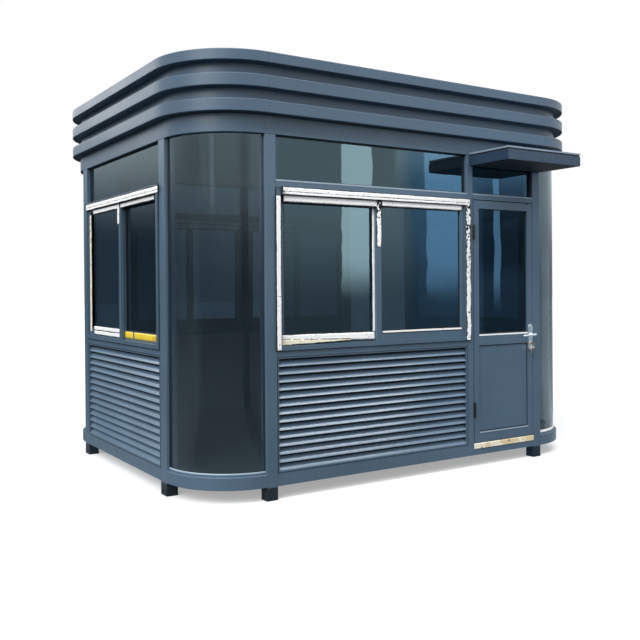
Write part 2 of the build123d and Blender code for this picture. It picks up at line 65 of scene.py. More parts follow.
# points closer than this are one point, in a CAD node's triangles and in a finished piece
CAD_WELD, PIECE_WELD = 0.00001, 0.000002
BOOTH, DOOR, LEVER = "booth", "door", "lever"

Colour = tuple[float, float, float, float]
Point = Sequence[float]

log = logging.getLogger("booth")


# ---------------------------------------------------------------- colours and nodes

def linear(code: str, share: float = 1.0) -> Colour:
    """Turns an sRGB hex colour to the linear values that shaders take.

    Args:
        code: The colour as "#rrggbb".
        share: How much of its light is kept.

    Returns:
        Red, green, blue and an alpha of one.
    """
    channels = [int(code[i:i + 2], 16) / 255 for i in (1, 3, 5)]
    red, green, blue = (c / 12.92 if c <= 0.04045 else ((c + 0.055) / 1.055) ** 2.4
                        for c in channels)
    return (red * share, green * share, blue * share, 1.0)


def add_node(tree: NodeTree, kind: str, inputs: dict[str, Any] | Sequence[Any] = (),
             stops: Sequence[tuple[float, Colour]] = (), **settings: Any) -> Node:
    """Adds one node with its settings, its input values and its links.

    Args:
        tree: The node tree that gets the node.
        kind: The node's type without its first words, such as "Mix".
        inputs: Values or links for sockets by name, or in the order of the sockets in use. A
            node given as a link stands for its first output.
        stops: Position and colour of each stop, for a colour ramp.
        settings: The node's own properties.

    Returns:
        The new node.
    """
    node = tree.nodes.new("ShaderNode" + kind)
    for key, value in settings.items():
        setattr(node, key, value)
    if isinstance(inputs, dict):
        pairs = [(node.inputs[key], value) for key, value in inputs.items()]
    else:
        pairs = list(zip([socket for socket in node.inputs if socket.enabled], inputs))
    for socket, value in pairs:
        if isinstance(value, Node):
            value = next(out for out in value.outputs if out.enabled)
        if isinstance(value, NodeSocket):
            tree.links.new(value, socket)
        else:
            socket.default_value = value
    for index, (position, colour) in enumerate(stops):
        elements = node.color_ramp.elements
        stop = elements[index] if index < 2 else elements.new(position)
        stop.position = position
        stop.color = colour
    return node


def emptied(owner: Material | World) -> NodeTree:
    """Turns on a material's or a world's nodes and clears them."""
    owner.use_nodes = True
    owner.node_tree.nodes.clear()
    return owner.node_tree


def per_mm(size_mm: float) -> float:
    """The scale that gives a noise pattern features of about this size in millimetres."""
    return 1.0 / (size_mm * MM)


# ---------------------------------------------------------------- finishes

@dataclass(frozen=True)
class Finish:
    """One surface finish, made into a procedural material the first time it is used."""

    name: str
    colour: str
    roughness: float

    def material(self) -> Material:
        """Makes the material, or finds it if it is already made."""
        made = bpy.data.materials.get(self.name)
        if made is None:
            made = bpy.data.materials.new(self.name)
            tree = emptied(made)
            place = add_node(tree, "TexCoord").outputs["Object"]
            add_node(tree, "OutputMaterial", {"Surface": self.shade(tree, place)})
        return made

    def shade(self, tree: NodeTree, place: NodeSocket) -> Node:
        """Builds the nodes between the coordinates and the surface.

        Args:
            tree: The material's node tree.
            place: The object coordinates.

        Returns:
            The shader that goes to the material's output.
        """
        raise NotImplementedError

    def opaque(self, tree: NodeTree, colour: Node, relief: Node, depth: float,
               strength: float = 0.5, ior: float = 1.5, rough: Node | None = None) -> Node:
        """Ends an opaque finish with a fine relief and its shader.

        Args:
            tree: The material's node tree.
            colour: The surface's colour.
            relief: The pattern that raises it.
            depth: How high the pattern rises.
            strength: How much of that shows.
            ior: The index of refraction.
            rough: The roughness, where it varies.

        Returns:
            The shader.
        """
        skin = add_node(tree, "Bump", {
            "Height": relief, "Strength": strength, "Distance": depth})
        return add_node(tree, "BsdfPrincipled", {
            "Base Color": colour, "Roughness": rough or self.roughness, "IOR": ior,
            "Normal": skin})


@dataclass(frozen=True)
class PowderCoat(Finish):
    """Satin polyester powder coat, sprayed on steel and baked: an even satin skin with faint orange
    peel, a cloudy thickness, dust where rain splashes up from the ground, and feet darkened as
    painted shade."""

    dust: str = "#8d9092"
    dust_share: float = 0.06
    dust_top: float = 0.42
    grit_mm: float = 45
    # painted shade: the coat goes near black on the feet up to this height, for the booth's shadow
    feet_shade: str = "#0d1216"
    feet_shade_share: float = 0.86
    feet_shade_top: float = 0.087
    feet_shade_fade: float = 0.006
    cloud_mm: float = 420
    cloud_share: float = 0.05
    # real orange peel is about 2 mm wide; it is drawn at 7 mm so that it shows
    peel_mm: float = 7
    peel_depth: float = 0.00012
    roughness_spread: float = 0.05

    def shade(self, tree: NodeTree, place: NodeSocket) -> Node:
        """Builds the coat; see Finish.shade."""
        cloud = add_node(tree, "TexNoise", {
            "Vector": place, "Scale": per_mm(self.cloud_mm), "Detail": 3.0, "Roughness": 0.55})
        coat = add_node(tree, "ValToRGB", [cloud], [
            (0.3, linear(self.colour, 1 - self.cloud_share)),
            (0.7, linear(self.colour, 1 + self.cloud_share))])
        height = add_node(tree, "SeparateXYZ", [place]).outputs["Z"]
        near_ground = add_node(tree, "MapRange", (height, 0.0, self.dust_top, self.dust_share, 0.0),
                               interpolation_type="SMOOTHSTEP")
        grit = add_node(tree, "TexNoise", {
            "Vector": place, "Scale": per_mm(self.grit_mm), "Detail": 5.0, "Roughness": 0.65})
        dusty = add_node(tree, "Math", (near_ground, grit), operation="MULTIPLY")
        dulled = add_node(tree, "Mix", (dusty, coat, linear(self.dust)), data_type="RGBA")
        # painted shade on the feet, below the base rails
        shaded_feet = add_node(tree, "MapRange", (
            height, self.feet_shade_top - self.feet_shade_fade, self.feet_shade_top, self.feet_shade_share, 0.0))
        colour = add_node(tree, "Mix", (shaded_feet, dulled, linear(self.feet_shade)), data_type="RGBA")
        sheen = add_node(tree, "MapRange", (
            cloud, 0.25, 0.75, self.roughness - self.roughness_spread,
            self.roughness + self.roughness_spread))
        peel = add_node(tree, "TexNoise", {
            "Vector": place, "Scale": per_mm(self.peel_mm), "Detail": 1.0})
        return self.opaque(tree, colour, peel, self.peel_depth, rough=sheen)


@dataclass(frozen=True)
class TintedGlass(Finish):
    """Tempered body-tinted float glass: clear and dark, with the long roller waves that tempering
    leaves in it."""

    wave_mm: float = 260
    wave_squeeze: tuple[float, float, float] = (1.0, 1.0, 2.2)
    wave_depth: float = 0.0007
    shadow_tint: str = "#c4ccce"
    # a hard solar-control coating lifts the reflection above plain glass and makes it bluish
    ior: float = 1.85
    coating: str = "#d6f7ff"

    def shade(self, tree: NodeTree, place: NodeSocket) -> Node:
        """Builds the pane; see Finish.shade."""
        squeezed = add_node(tree, "Mapping", {"Vector": place, "Scale": self.wave_squeeze})
        roll = add_node(tree, "TexNoise", {
            "Vector": squeezed, "Scale": per_mm(self.wave_mm), "Detail": 0.0})
        bent = add_node(tree, "Bump", {
            "Height": roll, "Strength": 0.6, "Distance": self.wave_depth})
        pane = add_node(tree, "BsdfPrincipled", {
            "Base Color": linear(self.colour), "Roughness": self.roughness, "IOR": self.ior,
            "Specular Tint": linear(self.coating), "Transmission Weight": 1.0, "Normal": bent})
        clear = add_node(tree, "BsdfTransparent", {"Color": linear(self.shadow_tint)})
        in_shadow = add_node(tree, "LightPath").outputs["Is Shadow Ray"]
        return add_node(tree, "MixShader", (in_shadow, pane, clear))


@dataclass(frozen=True)
class Rubber(Finish):
    """Extruded EPDM, cured sealant or baked enamel: nearly black, with fine lines or ripples left by
    the die or the brush."""

    line_mm: float = 3
    line_depth: float = 0.0001

    def shade(self, tree: NodeTree, place: NodeSocket) -> Node:
        """Builds the rubber; see Finish.shade."""
        lines = add_node(tree, "TexNoise", {
            "Vector": place, "Scale": per_mm(self.line_mm), "Detail": 2.0})
        tone = add_node(tree, "ValToRGB", [lines], [
            (0.3, linear(self.colour, 0.8)), (0.7, linear(self.colour))])
        return self.opaque(tree, tone, lines, self.line_depth, 0.4, 1.52)


@dataclass(frozen=True)
class ProtectiveFilm(Finish):
    """Low-density polyethylene protective film, half peeled: milky and wrinkled, with aged yellow
    patches where the glue has turned, and black specks of grime and burst bubbles."""

    aged: str = "#e8d9a8"
    aged_share: float = 0.0
    patch_mm: float = 120
    patch_edge: float = 0.06
    speck: str = "#101314"
    speck_mm: float = 28
    speck_size: float = 0.15
    wrinkle_mm: float = 16
    wrinkle_depth: float = 0.0012

    def shade(self, tree: NodeTree, place: NodeSocket) -> Node:
        """Builds the film; see Finish.shade."""
        patches = add_node(tree, "TexNoise", {
            "Vector": place, "Scale": per_mm(self.patch_mm), "Detail": 3.0, "Roughness": 0.6})
        # the noise lies between about 0.25 and 0.75
        level = 0.25 + 0.5 * (1.0 - self.aged_share)
        aged = add_node(tree, "MapRange", (
            patches, level - self.patch_edge, level + self.patch_edge))
        toned = add_node(tree, "Mix", (aged, linear(self.colour), linear(self.aged)),
                         data_type="RGBA")
        dots = add_node(tree, "TexVoronoi", {"Vector": place, "Scale": per_mm(self.speck_mm)})
        grime = add_node(tree, "MapRange", (dots, self.speck_size, self.speck_size * 0.6))
        colour = add_node(tree, "Mix", (grime, toned, linear(self.speck)), data_type="RGBA")
        folds = add_node(tree, "TexNoise", {
            "Vector": place, "Scale": per_mm(self.wrinkle_mm), "Detail": 3.0, "Roughness": 0.6,
            "Distortion": 0.8})
        return self.opaque(tree, colour, folds, self.wrinkle_depth, ior=1.51)


@dataclass(frozen=True)
class WorkedMetal(Finish):
    """Bare or plated metal with fine scratches from handling and slightly uneven polish."""

    scratch_mm: float = 5
    scratch_stretch: tuple[float, float, float] = (0.25, 1.0, 1.0)
    worn: str = "#8b8d8e"
    worn_share: float = 0.25

    def shade(self, tree: NodeTree, place: NodeSocket) -> Node:
        """Builds the metal; see Finish.shade."""
        drawn = add_node(tree, "Mapping", {"Vector": place, "Scale": self.scratch_stretch})
        lines = add_node(tree, "TexNoise", {
            "Vector": drawn, "Scale": per_mm(self.scratch_mm), "Detail": 4.0, "Roughness": 0.6})
        tone = add_node(tree, "MapRange", (lines, 0.45, 0.75, 0.0, self.worn_share))
        colour = add_node(tree, "Mix", (tone, linear(self.colour), linear(self.worn)),
                          data_type="RGBA")
        polish = add_node(tree, "MapRange", (
            lines, 0.3, 0.7, self.roughness * 0.8, self.roughness * 1.25))
        return add_node(tree, "BsdfPrincipled", {
            "Base Color": colour, "Metallic": 1.0, "Roughness": polish})


@dataclass(frozen=True)
class Sheeting(Finish):
    """Rolled or calendered sheet goods, such as vinyl flooring, pressed lining board and coated
    steel sheet: a mottled tone with a fine embossed grain."""

    fleck: str = "#5a5e60"
    fleck_share: float = 0.4
    mottle_mm: float = 240
    grain_mm: float = 9
    grain_depth: float = 0.0003

    def shade(self, tree: NodeTree, place: NodeSocket) -> Node:
        """Builds the sheet; see Finish.shade."""
        mottle = add_node(tree, "TexNoise", {
            "Vector": place, "Scale": per_mm(self.mottle_mm), "Detail": 5.0, "Roughness": 0.6})
        grain = add_node(tree, "TexNoise", {
            "Vector": place, "Scale": per_mm(self.grain_mm), "Detail": 3.0})
        share = add_node(tree, "MapRange", (grain, 0.45, 0.70, 0.0, self.fleck_share))
        flecked = add_node(tree, "Mix", (share, linear(self.colour), linear(self.fleck)),
                           data_type="RGBA")
        tone = add_node(tree, "MapRange", (mottle, 0.3, 0.7, 0.9, 1.06))
        colour = add_node(tree, "VectorMath", (flecked, tone), operation="SCALE")
        return self.opaque(tree, colour, grain, self.grain_depth)


@dataclass(frozen=True)
class Finishes:
    """Every finish on the booth."""

    # polyester powder coat on the steel frame, baked satin, blue-grey
    paint: Finish = PowderCoat("satin_polyester_powder_coat", "#4c6275", 0.36)
    # a slightly deeper batch of it on the folded sheet of the head rail and the parapet
    parapet_coat: Finish = PowderCoat("powder_coated_parapet_sheet", "#42586c", 0.36)
    # the same coat on aluminium window profile, a shade deeper
    window_coat: Finish = PowderCoat("powder_coated_aluminium_profile", "#485e70", 0.36)
    # the same coat on the folded blades, which come glossier off the roll; its lighter tone is
    # painted light on their upturned slopes
    blade_coat_painted_light: Finish = PowderCoat("powder_coated_rolled_blade", "#5a7084", 0.18,
                                    roughness_spread=0.03)
    # the same coat on the canopy's folded sheet, darker as painted shade for its less lit faces
    canopy_painted_shade_coat: Finish = PowderCoat("dark_powder_coated_canopy_sheet", "#27394e", 0.40)
    # the canopy's top lip, coated pale as a painted highlight where its edge catches the light
    lip_painted_highlight_coat: Finish = PowderCoat("sun_bleached_powder_coated_lip", "#7c8e9f", 0.32)
    # a near-black coat on the canopy's underside, painted shade
    soffit_painted_shade_coat: Finish = PowderCoat("dark_primed_soffit_sheet", "#0a1220", 0.50)
    # a pale coat on the slim glazing beads, a painted highlight of the light that their ledges catch
    bead_painted_highlight_coat: Finish = PowderCoat("pale_powder_coated_glazing_bead", "#93a5b4", 0.32)
    # tempered panes, tinted through and coated
    glass: Finish = TintedGlass("tempered_blue_grey_float_glass", "#3e5262", 0.0)
    # the bent corner panes have a lighter body tint and no coating
    bent_glass: Finish = TintedGlass("bent_grey_float_glass", "#7f8d95", 0.0, ior=1.6,
                                     coating="#e6f8ff", shadow_tint="#eef2f3")
    # matt black glazing rubber, slightly shinier sealant, and dull glue full of street dirt
    rubber: Finish = Rubber("extruded_epdm_rubber", "#0b0d0f", 0.55)
    sealant: Finish = Rubber("cured_silicone_sealant", "#10161c", 0.50)
    grime: Finish = Rubber("soiled_glue_residue", "#090b0e", 0.75)
    # milky film, the same film gone cream, and cream film on the threshold
    film: Finish = ProtectiveFilm("peeling_polyethylene_film", "#f8f9f9", 0.38)
    aged_film: Finish = ProtectiveFilm("aged_polyethylene_film", "#f0ebd2", 0.42, aged_share=0.35)
    threshold_film: Finish = ProtectiveFilm("cream_film_on_aluminium", "#f4ecda", 0.40,
                                            aged="#e2d0ab", aged_share=0.42, speck_mm=66)
    # calendered vinyl tape, bright yellow with duller patches
    yellow_film: Finish = ProtectiveFilm("yellow_vinyl_tape", "#e9cc3c", 0.40, aged="#d9b62c",
                                         aged_share=0.4, speck_mm=44)
    # woven mesh behind the blades, near black as painted shade in the gaps; too deep in shade for
    # its weave to show
    screen: Finish = Rubber("black_coated_insect_mesh", "#07080a", 0.7)
    # sheet goods inside and on the roof
    floor: Finish = Sheeting("calendered_vinyl_flooring", "#5a5e60", 0.55)
    lining: Finish = Sheeting("coated_steel_sandwich_panel", "#7c8488", 0.45, fleck="#70787c")
    ceiling: Finish = Sheeting("white_coated_ceiling_panel", "#b4b8b8", 0.50, fleck="#a8acac")
    roof: Finish = Sheeting("coated_roof_sheet", "#667078", 0.50, fleck="#5c666e")
    # mill-finish aluminium, black baked enamel, and the lock's plated zinc, brass and key steel
    threshold: Finish = WorkedMetal("mill_finish_aluminium_threshold", "#d6cdb8", 0.38)
    hinge: Finish = Rubber("black_baked_enamel_hinge", "#0a1018", 0.45)
    lock_steel: Finish = WorkedMetal("satin_nickel_plated_zinc", "#eeefee", 0.34,
                                     worn="#c4c5c4", worn_share=0.2)
    lock_brass: Finish = WorkedMetal("machined_brass", "#c9a860", 0.30, worn="#8f7a48")
    key_steel: Finish = WorkedMetal("nickel_silver_key_blank", "#cfcbc0", 0.26)


# ---------------------------------------------------------------- walls and CAD boxes

class Side(Enum):
    """One of the booth's four walls, by the direction that it faces."""

    FRONT = (0.0, -1.0)
    RIGHT = (1.0, 0.0)
    REAR = (0.0, 1.0)
    LEFT = (-1.0, 0.0)

    def placing(self) -> Matrix:
        """The matrix that takes a point (u, v, w) on this wall to the booth's own axes."""
        outward = Vector((*self.value, 0.0))
        up = Vector((0.0, 0.0, 1.0))
        return Matrix((up.cross(outward), up, outward)).transposed().to_4x4()


@dataclass(frozen=True)
class Span:
    """A box, from its low to its high corner."""

    low: Vector
    high: Vector

    @classmethod
    def of(cls, points: Iterable[Vector]) -> "Span":
        """The box round these points."""
        axes = list(zip(*points))
        return cls(Vector(map(min, axes)), Vector(map(max, axes)))

    @property
    def middle(self) -> Vector:
        """The middle of the box."""
        return (self.low + self.high) / 2

    def on(self, side: Side) -> "Span":
        """The same box in a wall's u, v and w."""
        turn = side.placing().inverted()
        return Span.of((turn @ self.low, turn @ self.high))

    def from_inside(self) -> "Span":
        """The same box on the opposite wall's u, v and w, so that w runs into the room."""
        return Span(Vector((-self.high.x, self.low.y, -self.high.z)),
                    Vector((-self.low.x, self.high.y, -self.low.z)))


def box_of(node: str) -> Span:
    """The box of a CAD node, in the booth's own axes."""
    return Span.of(Vector(corner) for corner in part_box(node))


def solid_boxes(node: str) -> list[Span]:
    """Finds the box of each separate solid in a CAD node, in the booth's own axes.

    Args:
        node: The node's name.

    Returns:
        One box for each solid.
    """
    solid = bmesh.new()
    solid.from_mesh(frame["nodes"][node].data)
    bmesh.ops.remove_doubles(solid, verts=solid.verts, dist=CAD_WELD)
    seen: set[BMVert] = set()
    boxes = []
    for start in solid.verts:
        if start in seen:
            continue
        waiting, points = [start], []
        seen.add(start)
        while waiting:
            vert = waiting.pop()
            points.append(vert.co.copy())
            near = {e.other_vert(vert) for e in vert.link_edges} - seen
            seen |= near
            waiting += near
        boxes.append(Span.of(points))
    solid.free()
    return boxes


def spans_on(node: str, side: Side) -> list[Span]:
    """Finds the solids of a CAD node that lie on one wall.

    Args:
        node: The node's name.
        side: The wall.

    Returns:
        Their boxes in the wall's u, v and w, from left to right.
    """
    found = []
    for span in (box.on(side) for box in solid_boxes(node)):
        size = span.high - span.low
        if size.z < min(size.x, size.y) and span.high.z > 1.0:
            found.append(span)
    return sorted(found, key=lambda span: span.low.x)


def wall_face(side: Side) -> float:
    """How far out a wall's face is."""
    return max(span.high.z for span in spans_on("louvre_frames", side))


# ---------------------------------------------------------------- building pieces

def of_kind(parts: Iterable[Any], kind: type) -> list[Any]:
    """The parts of one kind, such as the points in what an operator gives back."""
    return [part for part in parts if isinstance(part, kind)]


def edges_at(points: Iterable[BMVert]) -> list[BMEdge]:
    """Every edge that meets these points, once each and always in the same order."""
    return list(dict.fromkeys(edge for point in points for edge in point.link_edges))


def faces_at(points: Iterable[BMVert]) -> list[BMFace]:
    """Every face that meets these points, once each and always in the same order."""
    return list(dict.fromkeys(face for point in points for face in point.link_faces))


def draw_rim(mesh: BMesh, rim: Sequence[BMEdge]) -> tuple[list[BMVert], list[BMEdge]]:
    """Extrudes a rim of edges, and gives the new rim's points and edges."""
    drawn = bmesh.ops.extrude_edge_only(mesh, edges=rim)["geom"]
    return of_kind(drawn, BMVert), of_kind(drawn, BMEdge)


class Shape:
    """A mesh being built on a wall or in the booth's own axes, which ends as one piece."""

    corner_steps = 8

    def __init__(self, placing: Matrix | None = None) -> None:
        """Starts an empty mesh.

        Args:
            placing: Takes the mesh's points to the booth's axes when the piece is finished.
        """
        self.mesh = bmesh.new()
        self.placing = placing or Matrix.Identity(4)

    def bevel(self, edges: Iterable[BMEdge], size: float, segments: int = 2) -> None:
        """Rounds these edges by this size."""
        bmesh.ops.bevel(self.mesh, geom=list(edges), offset=size, offset_type="OFFSET",
                        segments=segments, profile=0.5, affect="EDGES", material=-1,
                        clamp_overlap=True)

    def bar(self, low: Point, high: Point, edge: float = 0.0, segments: int = 2) -> list[BMVert]:
        """Adds a square bar with rounded edges.

        Args:
            low: Its lowest corner.
            high: Its highest corner.
            edge: The radius of its edges, or none for a corner left sharp.
            segments: Steps in each rounded edge.

        Returns:
            Its points before rounding.
        """
        a, b = Vector(low), Vector(high)
        points = bmesh.ops.create_cube(self.mesh, size=1.0, matrix=Matrix.LocRotScale(
            (a + b) / 2, None, b - a))["verts"]
        if edge > 0:
            self.bevel(edges_at(points), edge, segments)
        return points

    def ring(self, low: Point, high: Point, width: float, edge: float = 0.0) -> None:
        """Adds a flat ring with square corners, such as a seal around a pane.

        Args:
            low: The ring's lowest corner in u, v and w.
            high: The ring's highest corner.
            width: How wide its sides are in u and v.
            edge: The radius of its edges on the outside face.
        """
        a, b = Vector(low), Vector(high)
        size = b - a
        flat = bmesh.ops.create_grid(
            self.mesh, x_segments=1, y_segments=1, size=0.5,
            matrix=Matrix.LocRotScale((a + b) / 2 - Vector((0, 0, size.z / 2)), None,
                                      (size.x, size.y, 1.0)))
        face = flat["verts"][0].link_faces[0]
        sides = bmesh.ops.inset_region(self.mesh, faces=[face], thickness=width,
                                       use_boundary=True, use_even_offset=True)["faces"]
        bmesh.ops.delete(self.mesh, geom=[face], context="FACES")
        raised = bmesh.ops.extrude_face_region(self.mesh, geom=sides, use_keep_orig=True)["geom"]
        bmesh.ops.translate(self.mesh, verts=of_kind(raised, BMVert), vec=(0, 0, size.z))
        faces = of_kind(raised, BMFace)
        if edge > 0:
            self.bevel(dict.fromkeys(e for f in faces for e in f.edges if any(
                other not in faces for other in e.link_faces)), edge)

    def plate(self, low: Point, high: Point, corner: float, edge: float) -> None:
        """Adds a plate with rounded corners that lies flat on the wall.

        Args:
            low: Its lowest corner.
            high: Its highest corner.
            corner: The radius of its four corners.
            edge: The radius of its outside rim.
        """
        lengths = [e for e in edges_at(self.bar(low, high))
                   if abs(e.verts[0].co.z - e.verts[1].co.z) > (high[2] - low[2]) / 2]
        faces = {f for e in lengths for f in e.link_faces}
        self.bevel(lengths, corner, self.corner_steps)
        face = max((f for f in self.mesh.faces if f not in faces),
                   key=lambda f: (f.calc_center_median().z, f.calc_area()))
        self.bevel(face.edges, edge)

    def turned(self, middle: Point, sections: Sequence[tuple[float, float]],
               segments: int = 24) -> None:
        """Adds a turned part whose axis points out of the wall.

        Args:
            middle: A point on its axis, at its foot.
            sections: Height above the foot and radius of each step, from the foot up.
            segments: Sides round the axis.
        """
        foot, radius = sections[0]
        rim = edges_at(bmesh.ops.create_circle(
            self.mesh, cap_ends=True, segments=segments, radius=radius,
            matrix=Matrix.Translation(Vector(middle) + Vector((0, 0, foot))))["verts"])
        for (below, last), (above, radius) in zip(sections, sections[1:]):
            points, rim = draw_rim(self.mesh, rim)
            bmesh.ops.scale(self.mesh, vec=(radius / last, radius / last, 1.0), verts=points,
                            space=Matrix.Translation(-Vector(middle)))
            bmesh.ops.translate(self.mesh, vec=(0, 0, above - below), verts=points)
        bmesh.ops.contextual_create(self.mesh, geom=rim)

    def prism(self, outline: Sequence[Point], travel: Point, edge: float = 0.0) -> None:
        """Adds a bar of any section.

        Args:
            outline: The corners of its flat end.
            travel: How far and which way that end is drawn out.
            edge: The radius of its long edges.
        """
        corners = [self.mesh.verts.new(point) for point in outline]
        drawn = bmesh.ops.extrude_face_region(
            self.mesh, geom=[self.mesh.faces.new(corners)], use_keep_orig=True)["geom"]
        moved = of_kind(drawn, BMVert)
        bmesh.ops.translate(self.mesh, verts=moved, vec=travel)
        if edge > 0:
            self.bevel([e for v in corners for e in v.link_edges if e.other_vert(v) in moved],
                       edge)

    def join(self, other: "Shape", matrix: Matrix | None = None, keep: bool = False) -> None:
        """Takes in another shape's mesh, moved by this matrix.

        Args:
            other: The shape, which is used up unless it is kept.
            matrix: Takes its points to this shape's own axes.
            keep: Whether the other shape will be used again.
        """
        spare = bpy.data.meshes.new("spare")
        other.mesh.to_mesh(spare)
        spare.transform(matrix or Matrix.Identity(4))
        self.mesh.from_mesh(spare)
        bpy.data.meshes.remove(spare)
        if not keep:
            other.mesh.free()

    def join_on_both_faces(self, other: "Shape", middle: float) -> None:
        """Takes in another shape's mesh, and its mirror image across the plane w = middle."""
        self.join(other, keep=True)
        self.join(other, Matrix.Translation((0, 0, 2 * middle)) @ Matrix.Diagonal((1, 1, -1, 1)))

    def finish(self, name: str, finish: Finish, body: str = BOOTH, slot: str = "booth_paint",
               replaces: str = "", smooth: bool = False) -> None:
        """Ends the mesh as one named piece that rides on a body.

        Args:
            name: The piece's name.
            finish: Its surface.
            body: The CAD body that it moves with.
            slot: Not used.
            replaces: The CAD node that it stands for, if any.
            smooth: Whether its faces shade smoothly.
        """
        bmesh.ops.remove_doubles(self.mesh, verts=self.mesh.verts, dist=PIECE_WELD)
        bmesh.ops.recalc_face_normals(self.mesh, faces=self.mesh.faces)
        bmesh.ops.transform(self.mesh, matrix=self.placing, verts=self.mesh.verts)
        for face in self.mesh.faces:
            face.smooth = smooth
        piece = placed(name, self.mesh, finish.material())
        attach(piece, body)
        if replaces:
            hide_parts(replaces)
        log.info("piece %s: %d faces on %s", name, len(piece.data.polygons), body)


def placed(name: str, mesh: BMesh, material: Material) -> Object:
    """Puts a mesh in the scene as an object with one material.

    Args:
        name: The object's name.
        mesh: Its mesh, which is used up.
        material: Its material.

    Returns:
        The object.
    """
    data = bpy.data.meshes.new(name)
    mesh.to_mesh(data)
    mesh.free()
    data.materials.append(material)
    thing = bpy.data.objects.new(name, data)
    bpy.context.scene.collection.objects.link(thing)
    return thing


# ---------------------------------------------------------------- carried-over nodes

@dataclass
class FrameFinishes:
    """Gives each CAD node that is kept its real finish."""

    finishes: Finishes
    folded_sheet: tuple[str, ...] = (
        "head_rail", "parapet_wall", "lower_parapet_band", "middle_parapet_band",
        "top_parapet_band")

    def build(self) -> None:
        """Dresses every CAD node by its slot, and a few nodes by their own name."""
        kit = self.finishes
        by_slot = {
            "booth_paint": kit.paint, "window_coating": kit.window_coat,
            "tinted_glass": kit.glass, "floor_covering": kit.floor, "wall_lining": kit.lining,
            "ceiling_lining": kit.ceiling, "roof_sheet": kit.roof,
            "threshold_metal": kit.threshold, "hinge_black": kit.hinge,
            "lock_steel": kit.lock_steel, "lock_brass": kit.lock_brass,
            "key_metal": kit.key_steel}
        own = {"corner_glass": kit.bent_glass,
               **dict.fromkeys(self.folded_sheet, kit.parapet_coat)}
        for row in frame["record"]["subparts"]:
            finish = own.get(row["node"], by_slot[row["material_slot"]])
            materials = frame["nodes"][row["node"]].data.materials
            materials.clear()
            materials.append(finish.material())
            log.info("node %s: %s", row["node"], finish.name)


# ---------------------------------------------------------------- louvres

@dataclass
class Louvres:
    """Louvred lower panels: rolled blades that steepen towards a thin front edge, with open gaps and
    a near-black screen behind them as painted shade."""

    finishes: Finishes
    blades: int = 14
    border: float = 0.012
    end_gap: float = 0.004
    nose_back: float = 0.003
    nose_height: float = 0.0022
    nose_radius: float = 0.0009
    crown_depth: float = 0.0105
    crown_height: float = 0.0150
    crown_round: float = 0.0085
    slope_depth: float = 0.030
    slope_top: float = 0.0355
    hem: float = 0.009
    # how far a blade's underside lies in from its back and from its crown, and down
    under_back: tuple[float, float] = (0.0021, 0.0024)
    under_crown: tuple[float, float] = (0.0018, 0.0048)
    crown_steps: int = 4
    screen_depth: float = 0.0365
    screen_thickness: float = 0.001
    screen_edge: float = 0.0003

    def blade(self, shape: Shape, left: float, right: float, foot: float, face: float) -> None:
        """Adds one blade.

        Args:
            shape: The mesh that gets it.
            left: Where it starts along the wall.
            right: Where it ends.
            foot: The height of its lowest edge.
            face: How far out the wall's face is.
        """
        nose = face - self.nose_back
        back = nose - self.slope_depth
        crown = nose - self.crown_depth
        crown_top = foot + self.crown_height
        outline = [
            (nose, foot), (nose, foot + self.nose_height), (crown, crown_top),
            (back, foot + self.slope_top),
            (back - self.under_back[0], foot + self.slope_top - self.under_back[1]),
            (nose - self.hem - self.under_crown[0], crown_top - self.under_crown[1]),
            (nose - self.hem, foot)]
        before = set(shape.mesh.verts)
        shape.prism([(left, v, w) for w, v in outline], (right - left, 0, 0))
        starts = [(e, e.verts[0].co) for e in shape.mesh.edges
                  if before.isdisjoint(e.verts)
                  and abs(e.verts[0].co.x - e.verts[1].co.x) > self.border]
        at_nose = [e for e, co in starts if co.z > nose - self.nose_radius]
        at_crown = [e for e, co in starts if abs(co.z - crown) < self.nose_radius
                    and co.y > crown_top - self.nose_radius]
        shape.bevel(at_crown, self.crown_round, self.crown_steps)
        shape.bevel([e for e in at_nose if e.is_valid], self.nose_radius)

    def panel(self, side: Side) -> None:
        """Builds the blades and the screen of one wall's lower panels.

        Args:
            side: The wall.
        """
        blades, screen = Shape(side.placing()), Shape(side.placing())
        for bay in spans_on("louvre_frames", side):
            left, right = bay.low.x + self.border, bay.high.x - self.border
            low, high = bay.low.y + self.border, bay.high.y - self.border
            pitch = (high - low) / self.blades
            for row in range(self.blades):
                self.blade(blades, left + self.end_gap, right - self.end_gap,
                           low + row * pitch, bay.high.z)
            deep = bay.high.z - self.screen_depth
            screen.bar((left, low, deep), (right, high, deep + self.screen_thickness),
                       self.screen_edge, 1)
        wall = side.name.lower()
        blades.finish(f"{wall}_rolled_louvre_blades", self.finishes.blade_coat_painted_light,
                      replaces=f"{wall}_louvre_blades")
        screen.finish(f"{wall}_insect_screen", self.finishes.screen)

    def build(self) -> None:
        """Builds the louvres of all four walls."""
        for side in Side:
            self.panel(side)


# ---------------------------------------------------------------- glazing

@dataclass
class Corner:
    """The quarter circle that a curved corner pane follows."""

    centre: Vector
    radius: float
    start: float

    @classmethod
    def of(cls, pane: Span) -> "Corner":
        """Finds the quarter circle of a pane.

        Args:
            pane: The pane's box.

        Returns:
            Its centre on the ground, outer radius, and bearing in degrees where it starts.
        """
        booth = Span.of(box.middle for box in solid_boxes("corner_glass"))
        to_right, to_rear = pane.middle.x > 0, pane.middle.y > booth.middle.y
        inner_x, outer_x = ((pane.low.x, pane.high.x) if to_right
                            else (pane.high.x, pane.low.x))
        inner_y = pane.low.y if to_rear else pane.high.y
        start = {(True, True): 0.0, (False, True): 90.0, (False, False): 180.0,
                 (True, False): 270.0}[(to_right, to_rear)]
        return cls(Vector((inner_x, inner_y, 0)), abs(outer_x - inner_x), start)

    def outward(self, turn: float) -> Vector:
        """The way out from the centre, this many degrees round from the start."""
        bearing = math.radians(self.start + turn)
        return Vector((math.cos(bearing), math.sin(bearing), 0))


